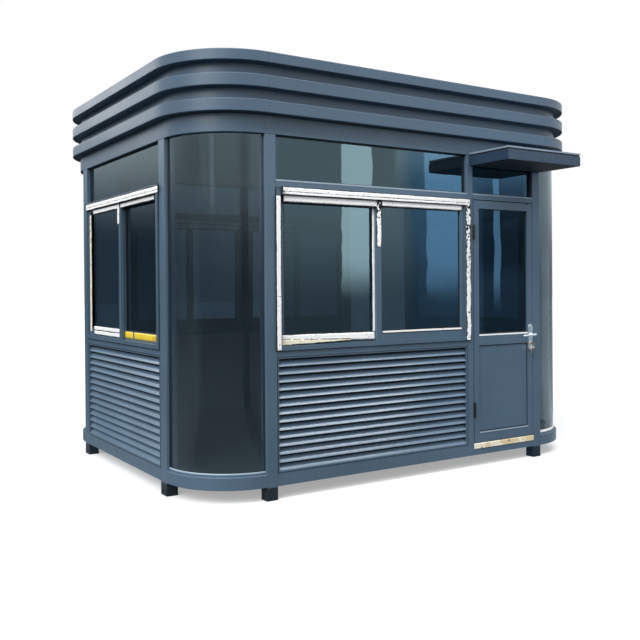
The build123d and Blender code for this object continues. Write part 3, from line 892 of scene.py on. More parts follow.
@dataclass
class GlazingSeals:
    """Black rubber seals round every flat pane, and sealant along the curved corner panes."""

    finishes: Finishes
    seal_width: float = 0.009
    seal_proud: float = 0.0025
    seal_edge: float = 0.0008
    seal_gap: float = 0.0001
    door_seal_width: float = 0.007
    corner_seal: float = 0.007
    corner_seal_crest: float = 0.0042
    corner_proud: float = 0.004
    corner_gap: float = 0.0002
    corner_edge: float = 0.0006

    def seals(self, node: str, name: str, body: str, width: float) -> None:
        """Adds a seal on both faces of each pane of a node.

        Args:
            node: The panes' CAD node.
            name: The new piece's name.
            body: The body that it rides on.
            width: How wide the seal is.
        """
        shape = Shape()
        for side in Side:
            for pane in spans_on(node, side):
                one = Shape()
                for low, high in (
                        (pane.high.z + self.seal_gap, pane.high.z + self.seal_proud),
                        (pane.low.z - self.seal_proud, pane.low.z - self.seal_gap)):
                    one.ring((*pane.low.xy, low), (*pane.high.xy, high), width, self.seal_edge)
                shape.join(one, side.placing())
        shape.finish(name, self.finishes.rubber, body, "tinted_glass")

    def corner_seals(self) -> None:
        """Adds a line of sealant up both edges of each curved pane."""
        shape = Shape()
        for pane in solid_boxes("corner_glass"):
            corner = Corner.of(pane)
            for end in (0.0, 90.0):
                out = corner.outward(end)
                along = Vector((0, 0, 1)).cross(out) * (1 if end == 0 else -1)
                foot = corner.centre + out * corner.radius
                section = [foot + along * a + out * b for a, b in (
                    (0.0, self.corner_gap), (self.corner_seal, self.corner_gap),
                    (self.corner_seal_crest, self.corner_proud), (0.0, self.corner_proud))]
                shape.prism([(*point.xy, pane.low.z) for point in section],
                            (0, 0, pane.high.z - pane.low.z), self.corner_edge)
        shape.finish("corner_glass_sealant", self.finishes.sealant)

    def build(self) -> None:
        """Builds every seal."""
        for place in ("front_window", "side_window", "rear_window", "transom"):
            self.seals(f"{place}_glass", f"{place}_seals", BOOTH, self.seal_width)
        self.seals("door_glass", "door_glass_seal", DOOR, self.door_seal_width)
        self.corner_seals()


@dataclass
class Joints:
    """Dark sealant where frames meet posts and rails, and slim beads at the glass ledges with a
    painted highlight.
    """

    finishes: Finishes
    window_joint: float = 0.006
    window_joint_proud: float = 0.003
    window_joint_edge: float = 0.0006
    louvre_joint: float = 0.004
    louvre_joint_proud: float = 0.0008
    ledge_height: float = 0.009
    ledge_depth: float = 0.009
    ledge_proud: float = 0.0014
    ledge_edge: float = 0.0012
    foot_bead_gap: float = 0.0002
    foot_bead_depth: float = 0.0054
    foot_bead_height: float = 0.009
    white_bead_height: float = 0.018
    # the bead's shoulder, as a share of its height, and its crest, as a share of its depth
    bead_shoulder: float = 0.6
    bead_crest: float = 0.55
    bead_steps: int = 24

    def joints(self) -> None:
        """Adds the sealant round every window frame and every louvre frame."""
        shape = Shape()
        for side in Side:
            wall = wall_face(side)
            node = {Side.FRONT: "front_window_frame", Side.REAR: "rear_window_frames"}.get(
                side, "side_window_frames")
            one = Shape()
            for span in spans_on(node, side):
                over = Vector((self.window_joint, self.window_joint, 0))
                low, high = span.low - over, span.high + over
                one.ring((*low.xy, wall), (*high.xy, wall + self.window_joint_proud),
                         self.window_joint, self.window_joint_edge)
            for span in spans_on("louvre_frames", side):
                one.ring((*span.low.xy, wall), (*span.high.xy, wall + self.louvre_joint_proud),
                         self.louvre_joint)
            shape.join(one, side.placing())
        shape.finish("frame_joint_sealant", self.finishes.sealant)

    def ledges(self) -> None:
        """Adds the bead along the sill of each upper pane of the long walls, pale as a painted
        highlight.
        """
        shape = Shape()
        for side in (Side.FRONT, Side.REAR):
            wall = wall_face(side)
            one = Shape()
            for pane in spans_on("transom_glass", side):
                one.bar((pane.low.x, pane.low.y - self.ledge_height, wall - self.ledge_depth),
                        (pane.high.x, pane.low.y + self.ledge_proud, wall + self.ledge_proud),
                        self.ledge_edge)
            shape.join(one, side.placing())
        shape.finish("upper_pane_sill_beads", self.finishes.bead_painted_highlight_coat)

    def foot_beads(self) -> None:
        """Adds the bead along the foot of each curved pane; the one by the door keeps its film."""
        beads, white = Shape(), Shape()
        for pane in solid_boxes("corner_glass"):
            corner = Corner.of(pane)
            by_door = corner.centre.x > 0 > corner.centre.y
            mesh = (white if by_door else beads).mesh
            height = self.white_bead_height if by_door else self.foot_bead_height
            foot = corner.centre + Vector((0, 0, pane.low.z))
            section = [foot + corner.outward(0.0) * (corner.radius + deep)
                       + Vector((0, 0, high)) for deep, high in (
                           (self.foot_bead_gap, 0.0), (self.foot_bead_depth, 0.0),
                           (self.foot_bead_depth, height * self.bead_shoulder),
                           (self.foot_bead_depth * self.bead_crest, height),
                           (self.foot_bead_gap, height))]
            points = [mesh.verts.new(point) for point in section]
            loop = [mesh.edges.new(pair) for pair in zip(points, points[1:] + points[:1])]
            swept = bmesh.ops.spin(mesh, geom=points + loop, cent=corner.centre, axis=(0, 0, 1),
                                   angle=math.radians(90), steps=self.bead_steps)["geom_last"]
            for end in (loop, of_kind(swept, BMEdge)):
                bmesh.ops.contextual_create(mesh, geom=end)
        # the foot beads' pale coat is a painted highlight
        beads.finish("corner_glass_foot_beads", self.finishes.bead_painted_highlight_coat)
        white.finish("door_corner_foot_film", self.finishes.film)

    def build(self) -> None:
        """Builds every joint and bead."""
        self.joints()
        self.ledges()
        self.foot_beads()


# ---------------------------------------------------------------- door

@dataclass
class DoorDetails:
    """The door's seals, beads, film strip, closer slot and its ribbed threshold."""

    finishes: Finishes
    panel_seal: float = 0.008
    panel_seal_proud: float = 0.0012
    fine_edge: float = 0.0004
    glass_film_height: float = 0.011
    glass_film_thickness: float = 0.0010
    glass_film_gap: float = 0.0015
    panel_bead_height: float = 0.010
    panel_bead_proud: float = 0.0022
    panel_bead_sunk: float = 0.001
    panel_bead_edge: float = 0.0008
    stop_seal: float = 0.014
    stop_seal_depth: float = 0.005
    stop_seal_edge: float = 0.0015
    slot_size: tuple[float, float, float] = (0.030, 0.012, 0.0012)
    slot_corner: float = 0.0054
    slot_edge: float = 0.00048
    slot_from_lock_edge: float = 0.040
    slot_below_top: float = 0.003
    rib_count: int = 3
    rib_depth: float = 0.0025
    rib_mouth: float = 0.0018
    rib_floor: float = 0.0010
    nosing: float = 0.003
    tread_count: int = 6
    tread_margin: float = 0.009
    # a tread groove's steps back from its front edge, with their depths
    tread_groove: tuple[tuple[float, float], ...] = (
        (0.0, 0.0), (0.001, 0.0015), (0.003, 0.0015), (0.004, 0.0))

    def leaf(self) -> None:
        """Adds what rides on the door leaf."""
        leaf, panel, glass = (box_of(node).on(Side.FRONT) for node in (
            "door_leaf_frame", "door_panel", "door_glass"))
        place, face = Side.FRONT.placing(), leaf.high.z

        seal = Shape(place)
        seal.ring((*panel.low.xy, panel.high.z),
                  (*panel.high.xy, panel.high.z + self.panel_seal_proud),
                  self.panel_seal, self.fine_edge)
        seal.finish("door_panel_seal", self.finishes.sealant, DOOR)

        strip = Shape(place)
        top = glass.low.y - self.glass_film_gap
        strip.bar((glass.low.x, top - self.glass_film_height, face),
                  (glass.high.x, top, face + self.glass_film_thickness), self.fine_edge)
        strip.finish("door_glass_film_strip", self.finishes.film, DOOR)

        bead = Shape(place)
        bead.bar((panel.low.x, panel.low.y - self.panel_bead_height, face - self.panel_bead_sunk),
                 (panel.high.x, panel.low.y, face + self.panel_bead_proud), self.panel_bead_edge)
        # the bead's pale coat is a painted highlight on the panel's lower edge
        bead.finish("door_panel_foot_bead", self.finishes.bead_painted_highlight_coat, DOOR)

        slot = Shape(place)
        wide, tall, proud = self.slot_size
        right, above = leaf.high.x - self.slot_from_lock_edge, leaf.high.y - self.slot_below_top
        slot.plate((right - wide, above - tall, face), (right, above, face + proud),
                   self.slot_corner, self.slot_edge)
        slot.finish("door_closer_slot", self.finishes.hinge, DOOR, "hinge_black")

    def stop(self) -> None:
        """Adds the seal that the closed leaf faces, on the stops round the doorway."""
        stops = box_of("door_stops").on(Side.FRONT)
        seal = Shape(Side.FRONT.placing())
        seal.ring((*stops.low.xy, stops.high.z),
                  (*stops.high.xy, stops.high.z + self.stop_seal_depth),
                  self.stop_seal, self.stop_seal_edge)
        seal.finish("doorway_stop_seal", self.finishes.rubber)

    def threshold(self) -> None:
        """Replaces the plain threshold with one that is ribbed on its face and on its tread."""
        plain = box_of("door_threshold").on(Side.FRONT)
        (left, low, back), (right, high, face) = plain.low, plain.high
        outline = [(back, low), (face, low)]
        pitch = (high - low) / self.rib_count
        for rib in range(1, self.rib_count):
            groove, floor = low + rib * pitch, face - self.rib_depth
            outline += [(face, groove - self.rib_mouth), (floor, groove - self.rib_floor),
                        (floor, groove + self.rib_floor), (face, groove + self.rib_mouth)]
        outline += [(face, high - self.nosing), (face - self.nosing, high)]
        step = (face - back - self.tread_margin - self.nosing) / self.tread_count
        for tread in range(self.tread_count):
            groove = face - self.tread_margin - tread * step
            outline += [(groove - along, high - deep) for along, deep in self.tread_groove]
        outline.append((back, high))
        ribbed = Shape(Side.FRONT.placing())
        ribbed.prism([(left, v, w) for w, v in outline], (right - left, 0, 0))
        ribbed.finish("ribbed_door_threshold", self.finishes.threshold_film,
                      slot="threshold_metal", replaces="door_threshold")

    def build(self) -> None:
        """Builds the door's details."""
        self.leaf()
        self.stop()
        self.threshold()


@dataclass
class Lock:
    """The lock's rounded long plates with their screws and roses, and the pair of levers."""

    finishes: Finishes
    plate_edge: float = 0.0018
    end_flat: float = 0.0004
    screw_radius: float = 0.0038
    screw_height: float = 0.0011
    screw_inset: float = 0.013
    # each step's share of the height and of the radius, for a screw and for a rose
    screw_steps: tuple[tuple[float, float], ...] = ((0.0, 1.0), (0.5, 0.96), (1.0, 0.55))
    rose_radius: float = 0.0135
    rose_height: float = 0.0030
    rose_steps: tuple[tuple[float, float], ...] = ((0.0, 1.0), (0.6, 1.0), (1.0, 0.86))
    small_sides: int = 16
    rose_sides: int = 32
    sunk: float = 0.0003
    axis: tuple[float, float] = (1.128, 0.970)
    spindle_radius: float = 0.004
    spindle_end: float = 0.001
    neck_radius: float = 0.0080
    # the neck's radius at its foot and inside the grip
    neck_ends: tuple[float, float] = (0.00896, 0.0072)
    neck_gap: float = 0.0006
    neck_foot: float = 0.004
    grip_sides: int = 20
    grip_out: float = 0.043
    grip_tall: float = 0.0085
    grip_thick: float = 0.0065
    # place along the wall from the axis, rise, and depth back towards the door, with the share of
    # the full section there, from the knob end to the free end
    grip_line: tuple[tuple[float, float, float, float], ...] = (
        (0.0165, 0.0022, 0.0, 0.55), (0.0150, 0.0020, 0.0, 0.86), (0.0100, 0.0014, 0.0, 1.08),
        (0.0, 0.0, 0.0, 1.12), (-0.018, -0.0012, 0.0002, 0.96), (-0.045, -0.0024, 0.0012, 0.84),
        (-0.075, -0.0036, 0.0024, 0.84), (-0.098, -0.0048, 0.0048, 0.90),
        (-0.109, -0.0056, 0.0082, 0.88), (-0.1130, -0.0060, 0.0110, 0.60))

    def plain_plates(self) -> tuple[Span, float]:
        """The outside plate's box on the front wall, and the depth of the leaf's middle."""
        inner, outer = sorted(spans_on("door_lock_plates", Side.FRONT),
                              key=lambda span: span.low.z)
        return outer, (inner.low.z + outer.high.z) / 2

    def plates(self) -> None:
        """Replaces the plates with ones that have round ends, screws and roses."""
        outer, middle = self.plain_plates()
        face = outer.high.z - self.sunk
        one = Shape()
        one.plate(outer.low, outer.high, (outer.high.x - outer.low.x) / 2 - self.end_flat,
                  self.plate_edge)
        for height in (outer.low.y + self.screw_inset, outer.high.y - self.screw_inset):
            one.turned((outer.middle.x, height, face), [
                (up * self.screw_height, out * self.screw_radius)
                for up, out in self.screw_steps], self.small_sides)
        for place in (self.axis, box_of("door_lock_cylinder").middle.xz):
            one.turned((*place, face), [
                (up * self.rose_height, out * self.rose_radius)
                for up, out in self.rose_steps], self.rose_sides)
        shape = Shape(Side.FRONT.placing())
        shape.join_on_both_faces(one, middle)
        shape.finish("door_lock_long_plates", self.finishes.lock_steel, DOOR, "lock_steel",
                     "door_lock_plates")

    def grip(self, shape: Shape, foot: float) -> None:
        """Adds one lever: its neck, and the grip swept along its line.

        Args:
            shape: The mesh that gets it.
            foot: How far out the plate's face is.
        """
        neck_foot = self.rose_height + self.neck_gap
        shape.turned((*self.axis, foot), (
            (neck_foot, self.neck_ends[0]), (neck_foot + self.neck_foot, self.neck_radius),
            (self.grip_out - self.grip_thick, self.neck_radius),
            (self.grip_out - self.grip_thick / 2, self.neck_ends[1])))
        sections = [
            (Matrix.Translation((self.axis[0] + along, self.axis[1] + rise,
                                 foot + self.grip_out - back))
             @ Matrix.Rotation(math.radians(90), 4, "Y"), share)
            for along, rise, back, share in self.grip_line]
        ring = bmesh.ops.create_circle(shape.mesh, cap_ends=True, segments=self.grip_sides,
                                       radius=1.0)["verts"]
        rim = edges_at(ring)
        before, last = sections[0]
        bmesh.ops.transform(shape.mesh, verts=ring, matrix=before @ Matrix.Diagonal(
            (self.grip_thick * last, self.grip_tall * last, 1.0, 1.0)))
        for turn, share in sections[1:]:
            points, rim = draw_rim(shape.mesh, rim)
            ratio = Matrix.Diagonal((share / last, share / last, 1.0, 1.0))
            bmesh.ops.transform(shape.mesh, verts=points, matrix=turn @ ratio @ before.inverted())
            before, last = turn, share
        bmesh.ops.contextual_create(shape.mesh, geom=rim)

    def levers(self) -> None:
        """Replaces the plain lever with a turned and swept pair on one spindle."""
        outer, middle = self.plain_plates()
        shape, one = Shape(Side.FRONT.placing()), Shape()
        self.grip(one, outer.high.z)
        shape.join_on_both_faces(one, middle)
        reach = outer.high.z - middle + self.rose_height + self.spindle_end
        shape.turned((*self.axis, middle), (
            (-reach, self.spindle_radius), (reach, self.spindle_radius)), self.small_sides)
        shape.finish("door_lever_pair", self.finishes.lock_steel, LEVER, "lock_steel",
                     "door_lever", smooth=True)

    def build(self) -> None:
        """Builds the plates and the levers."""
        self.plates()
        self.levers()


@dataclass
class Canopy:
    """The small canopy over the door: a folded box coloured darker as painted shade, a black strip
    of painted shade in the groove round its top, a pale lip above the groove as a painted highlight,
    and a near-black soffit of painted shade under it."""

    finishes: Finishes
    lip_height: float = 0.013
    lip_width: float = 0.018
    groove_height: float = 0.011
    groove_depth: float = 0.007
    end_groove_depth: float = 0.004
    inside_cad: float = 0.0001
    top_drop: float = 0.004
    overlap: float = 0.001
    fold: float = 0.0012
    soffit_inset: float = 0.010
    soffit_drop: float = 0.0012
    soffit_edge: float = 0.0004

    def build(self) -> None:
        """Builds the folded box, the groove, the lip and the soffit."""
        plain = box_of("door_canopy")
        left, right = plain.low.x + self.inside_cad, plain.high.x - self.inside_cad
        front, rear = plain.low.y + self.inside_cad, plain.high.y
        foot, top = plain.low.z, plain.high.z
        lip_foot = top - self.lip_height
        groove_foot = lip_foot - self.groove_height
        deep_left, deep_right = left + self.end_groove_depth, right - self.end_groove_depth
        deep_front = front + self.groove_depth

        box = Shape()
        box.bar((left, front, foot), (right, rear, groove_foot), self.fold)
        box.bar((deep_left, deep_front, lip_foot), (deep_right, rear, top - self.top_drop),
                self.fold)
        box.finish("canopy_folded_box", self.finishes.canopy_painted_shade_coat, replaces="door_canopy")

        # a black rubber strip in the groove, painted shade under the lip
        groove = Shape()
        groove.bar((deep_left, deep_front, groove_foot - self.overlap),
                   (deep_right, rear, lip_foot + self.overlap))
        groove.finish("canopy_groove", self.finishes.rubber)

        lip = Shape()
        behind = front + self.lip_width
        lip.bar((left, front, lip_foot), (right, behind, top), self.fold)
        for side in (left, right - self.lip_width):
            lip.bar((side, behind, lip_foot), (side + self.lip_width, rear, top), self.fold)
        lip.finish("canopy_lip", self.finishes.lip_painted_highlight_coat)

        soffit = Shape()
        inset = self.soffit_inset
        soffit.bar((left + inset, front + inset, foot - self.soffit_drop),
                   (right - inset, box_of("head_rail").low.y - inset, foot + self.soffit_edge),
                   self.soffit_edge)
        soffit.finish("canopy_soffit", self.finishes.soffit_painted_shade_coat)


# ---------------------------------------------------------------- protective film

class Edge(Enum):
    """The edge of a frame or sash that a strip of film lies along."""

    TOP = "top"
    BOTTOM = "bottom"
    LEFT = "left"
    RIGHT = "right"


@dataclass(frozen=True)
class FilmStrip:
    """One strip of film on a frame or sash. Pairs give its start and its end, in millimetres: from
    left to right, or from the bottom up."""

    edge: Edge
    inset: tuple[float, float]
    near: tuple[float, float]
    width: tuple[float, float]
    ragged: float = 1.0
    torn: float = 0.0
    aged: bool = False
    proud: float = 0.0
    curl: float = 0.0

    def across(self, share: float) -> tuple[float, float]:
        """How far from the edge the strip starts, and its width, at this share of its length."""
        return tuple((a + (b - a) * share) * MM for a, b in (self.near, self.width))


Held = Sequence[tuple[Span, Sequence[FilmStrip]]]


@dataclass(frozen=True)
class Ripple:
    """Smooth noise over a strip: how fine it is along and across the strip, the layer of the noise
    that it reads, and how large it is."""

    along: float
    across: float
    layer: float
    size: float = 1.0

    def at(self, offset: Vector, along: float, across: float) -> float:
        """Its value at a point of a strip, whose noise is read from this offset."""
        return self.size * noise.noise(
            Vector((along * self.along, across * self.across, self.layer)) + offset)


@dataclass
class ProtectiveFilms:
    """Protective film left on the window frames and sashes, partly peeled and torn."""

    finishes: Finishes
    step: float = 0.006
    rows: int = 5
    torn_step: float = 0.003
    torn_rows: int = 13
    thickness: float = 0.0004
    lift: float = 0.0012
    fewest_steps: int = 8
    sway: Ripple = Ripple(9, 0.4, 0, 0.0020)
    fray: Ripple = Ripple(55, 7, 3, 0.0016)
    # a fold lifts the film by up to twice this size
    fold: Ripple = Ripple(38, 5, 9, 0.0007)
    end_fray: Ripple = Ripple(9, 2, 5, 0.004)
    tears: Ripple = Ripple(60, 60, 2)
    # a spot is torn where the tears' noise passes this level, which falls along the strip by this
    # slope from this share of the strip on
    tear_level: float = 0.62
    tear_slope: float = 1.6
    tear_delay: float = 0.55
    # the glue's margin in millimetres, and its lift and raggedness next to the film's
    glue_margin: float = 5.5
    glue_lift: float = 0.3
    glue_ragged: float = 0.25
    curl_turn: float = math.radians(290)
    offset_reach: float = 90
    seed: int = 41

    front_frame: tuple[FilmStrip, ...] = (
        FilmStrip(Edge.TOP, (-16, -21), (-6, -6), (26, 25), curl=11),
        FilmStrip(Edge.TOP, (8, -18), (22, 21), (15, 14), curl=6),
        FilmStrip(Edge.LEFT, (3, 50), (-5, -5), (30, 30), 1.2),
        FilmStrip(Edge.RIGHT, (3, 26), (-20, -20), (36, 38), 2.6, 0.62))
    front_left_sash: tuple[FilmStrip, ...] = (
        FilmStrip(Edge.TOP, (27, 38), (13, 13), (42, 42), proud=32),
        FilmStrip(Edge.RIGHT, (7, 17), (18, 18), (42, 42), 1.0, proud=4),
        FilmStrip(Edge.BOTTOM, (19, 46), (34, 14), (33, 51), 1.6, proud=6),
        FilmStrip(Edge.BOTTOM, (19, 250), (3, 17), (34, 6), 1.6, aged=True, proud=8))
    front_right_sash: tuple[FilmStrip, ...] = (
        FilmStrip(Edge.TOP, (50, 28), (7, 7), (41, 41), proud=4),
        FilmStrip(Edge.LEFT, (652, 19), (6, 6), (30, 33), 2.6, 0.95),
        FilmStrip(Edge.BOTTOM, (48, 28), (56, 56), (13, 13), 0.4))
    side_frame: tuple[FilmStrip, ...] = (
        FilmStrip(Edge.TOP, (18, -15), (15, 15), (24, 24)),
        FilmStrip(Edge.TOP, (18, -15), (41, 41), (16, 16)))
    side_left_sash: tuple[FilmStrip, ...] = (
        FilmStrip(Edge.TOP, (132, 66), (37, 37), (30, 30)),
        FilmStrip(Edge.RIGHT, (853, 25), (22, 22), (38, 38), 1.6),
        FilmStrip(Edge.LEFT, (32, 70), (42, 42), (38, 38), 2.4, 0.3, aged=True),
        FilmStrip(Edge.BOTTOM, (135, 36), (14, 14), (27, 27)),
        FilmStrip(Edge.BOTTOM, (135, 36), (48, 48), (28, 28)))
    side_right_sash: tuple[FilmStrip, ...] = (
        FilmStrip(Edge.TOP, (2, 60), (36, 36), (30, 30), proud=27),)
    rear_sash: tuple[FilmStrip, ...] = (FilmStrip(Edge.TOP, (30, 30), (10, 10), (36, 36)),)
    rear_frame_inside: tuple[FilmStrip, ...] = (
        FilmStrip(Edge.TOP, (2, 2), (1, 1), (26, 26)),)
    rear_sash_inside: tuple[FilmStrip, ...] = (
        FilmStrip(Edge.TOP, (4, 4), (3, 3), (44, 44)),)

    def strip(self, shape: Shape, held: Span, film: FilmStrip, chance: random.Random) -> None:
        """Adds one strip.

        Args:
            shape: The mesh that gets it.
            held: The frame or sash that it lies on.
            film: The strip's sizes.
            chance: The random source for its edges, folds and holes.
        """
        upright = film.edge in (Edge.LEFT, Edge.RIGHT)
        first, last = (held.low.y, held.high.y) if upright else (held.low.x, held.high.x)
        start, end = first + film.inset[0] * MM, last - film.inset[1] * MM
        step, rows = (self.torn_step, self.torn_rows) if film.torn else (self.step, self.rows)
        steps = max(self.fewest_steps, int((end - start) / step))
        flat = bmesh.ops.create_grid(shape.mesh, x_segments=steps, y_segments=rows,
                                     size=0.5)["verts"]
        offset = Vector([chance.uniform(0, self.offset_reach) for _ in range(3)])
        rim = {Edge.TOP: held.high.y, Edge.BOTTOM: held.low.y, Edge.LEFT: held.low.x,
               Edge.RIGHT: held.high.x}[film.edge]
        inward = 1 if film.edge in (Edge.BOTTOM, Edge.LEFT) else -1
        radius = film.curl * MM
        for vert in flat:
            share, across = vert.co.x + 0.5, vert.co.y + 0.5
            place = start + (end - start) * share
            near, width = film.across(share)
            sway = self.sway.at(offset, place, across)
            fray = self.fray.at(offset, place, across) * abs(across - 0.5) * 2
            fold = self.fold.size + self.fold.at(offset, place, across)
            spot = rim + inward * (near + width * across + (sway + fray) * film.ragged)
            rise = held.high.z + self.lift + fold * film.ragged + film.proud * MM
            if share in (0.0, 1.0):
                place += self.end_fray.at(offset, across, share)
            rolled = max(0.0, radius * self.curl_turn - (place - start))
            if radius > 0 and rolled > 0:
                turned = rolled / radius
                place = start + radius * self.curl_turn - radius * math.sin(turned)
                rise += radius * (1 - math.cos(turned))
            vert.co = (spot, place, rise) if upright else (place, spot, rise)
        faces = faces_at(flat)
        if film.torn > 0:
            torn = [f for f in faces if self.is_torn(f, film, offset, upright, start, end)]
            bmesh.ops.delete(shape.mesh, geom=torn, context="FACES")
            faces = [f for f in faces if f.is_valid]
        bmesh.ops.solidify(shape.mesh, geom=faces, thickness=self.thickness)

    def is_torn(self, face: BMFace, film: FilmStrip, offset: Vector, upright: bool,
                start: float, end: float) -> bool:
        """Tells whether a face is torn away; most tears are near the strip's far end.

        Args:
            face: The face.
            film: The strip that it is part of.
            offset: Where the strip's noise is read.
            upright: Whether the strip stands upright.
            start: Where the strip starts.
            end: Where it ends.

        Returns:
            Whether it is torn away.
        """
        middle = face.calc_center_median()
        share = ((middle.y if upright else middle.x) - start) / (end - start)
        eased = max(0.0, share * self.tear_slope - self.tear_delay)
        return self.tears.at(offset, middle.x, middle.y) > self.tear_level - film.torn * eased

    def cover(self, name: str, side: Side, held: Held) -> None:
        """Builds the film on one wall, with the aged strips as a piece of their own.

        Args:
            name: The start of the pieces' names.
            side: The wall.
            held: Each frame or sash with its strips.
        """
        self.glue(f"{name}_glue", side, held)
        for finish, ending, aged in ((self.finishes.film, "", False),
                                     (self.finishes.aged_film, "_aged", True)):
            chance = random.Random(f"{self.seed} {name} {aged}")
            strips = [(span, s) for span, strips in held for s in strips if s.aged is aged]
            if strips:
                shape = Shape(side.placing())
                for span, strip in strips:
                    self.strip(shape, span, strip, chance)
                shape.finish(name + ending, finish, slot="window_coating", smooth=True)

    def glue(self, name: str, side: Side, held: Held) -> None:
        """Builds the soiled glue that shows at the film's edges and through its tears.

        Args:
            name: The piece's name.
            side: The wall.
            held: Each frame or sash with its strips.
        """
        margin = self.glue_margin
        bare = replace(self, lift=self.lift * self.glue_lift)
        shape = Shape(side.placing())
        for span, strips in held:
            for film in strips:
                under = replace(
                    film, near=tuple(n - margin for n in film.near),
                    width=tuple(w + 2 * margin for w in film.width),
                    inset=tuple(i - margin / 2 for i in film.inset),
                    ragged=self.glue_ragged, torn=0.0)
                bare.strip(shape, span, under, random.Random(name))
        shape.finish(name, self.finishes.grime, slot="window_coating", smooth=True)

    def build(self) -> None:
        """Builds the film on all four walls; the far walls plainly repeat the near ones."""
        near = (self.side_frame, self.side_left_sash, self.side_right_sash)
        for side, frame_node, sash_node, films in (
                (Side.FRONT, "front_window_frame", "front_window_sashes",
                 (self.front_frame, self.front_left_sash, self.front_right_sash)),
                (Side.LEFT, "side_window_frames", "side_window_sashes", near),
                (Side.RIGHT, "side_window_frames", "side_window_sashes", near)):
            spans = spans_on(frame_node, side) + spans_on(sash_node, side)
            self.cover(f"{side.name.lower()}_window_film", side, list(zip(spans, films)))
        frames = spans_on("rear_window_frames", Side.REAR)
        sashes = spans_on("rear_window_sashes", Side.REAR)
        self.cover("rear_window_film", Side.REAR, [
            *((box, self.side_frame) for box in frames),
            *((box, self.rear_sash) for box in sashes)])
        self.cover("rear_window_inner_film", Side.FRONT, [
            *((box.from_inside(), self.rear_frame_inside) for box in frames),
            *((box.from_inside(), self.rear_sash_inside) for box in sashes)])


@dataclass
class YellowTape:
    """Two lengths of yellow tape on the bottom rail of the left window's front sash."""

    finishes: Finishes
    lengths: tuple[tuple[float, float], ...] = ((0.041, 0.205), (0.228, 0.736))
    near: float = 0.010
    width: float = 0.050
    thickness: float = 0.0006
    lift: float = 0.0008
    grid: tuple[int, int] = (24, 3)
    wave: Ripple = Ripple(6, 3, 0)
    # how far apart the noise of two lengths is read, for each metre between their starts
    wave_travel: float = 40
    buckle: float = 0.0006
    end_fray: float = 0.003

    def build(self) -> None:
        """Builds the tape, with slightly uneven ends."""
        sash = spans_on("side_window_sashes", Side.LEFT)[1]
        shape = Shape(Side.LEFT.placing())
        for start, end in self.lengths:
            flat = bmesh.ops.create_grid(shape.mesh, x_segments=self.grid[0],
                                         y_segments=self.grid[1], size=0.5)["verts"]
            offset = Vector((start * self.wave_travel, 0, 0))
            for vert in flat:
                share, across = vert.co.x + 0.5, vert.co.y + 0.5
                wave = self.wave.at(offset, share, across)
                place = sash.low.x + start + (end - start) * share
                if share in (0.0, 1.0):
                    place += wave * self.end_fray
                vert.co = (place, sash.low.y + self.near + self.width * across,
                           sash.high.z + self.lift + abs(wave) * self.buckle)
            bmesh.ops.solidify(shape.mesh, geom=faces_at(flat), thickness=self.thickness)
        shape.finish("left_window_yellow_tape", self.finishes.yellow_film,
                     slot="window_coating", smooth=True)


# ---------------------------------------------------------------- studio

@dataclass(frozen=True)
class StripPanel:
    """A tall pale panel far in front of the booth, seen only as a reflection in its panes. Its
    bearing and half its width are degrees, and its strength adds to the cloth behind it."""

    bearing: float
    half_width: float
    strength: float
    low: float
    high: float = 9.0


@dataclass(frozen=True)
class SoftBox:
    """One soft rectangular lamp that points at a spot on the booth."""

    name: str
    place: tuple[float, float, float]
    aim: tuple[float, float, float]
    width: float
    height: float
    brightness: float

    def build(self) -> None:
        """Adds the lamp; its power gives its face this brightness, where one is white."""
        lamp = bpy.data.lights.new(self.name, "AREA")
        lamp.shape = "RECTANGLE"
        lamp.size, lamp.size_y = self.width, self.height
        lamp.energy = self.brightness * math.pi * self.width * self.height
        box = bpy.data.objects.new(self.name, lamp)
        away = Vector(self.place) - Vector(self.aim)
        box.matrix_world = Matrix.Translation(self.place) @ away.to_track_quat(
            "Z", "Y").to_matrix().to_4x4()
        box.visible_camera = False
        box.visible_transmission = False
        bpy.context.scene.collection.objects.link(box)


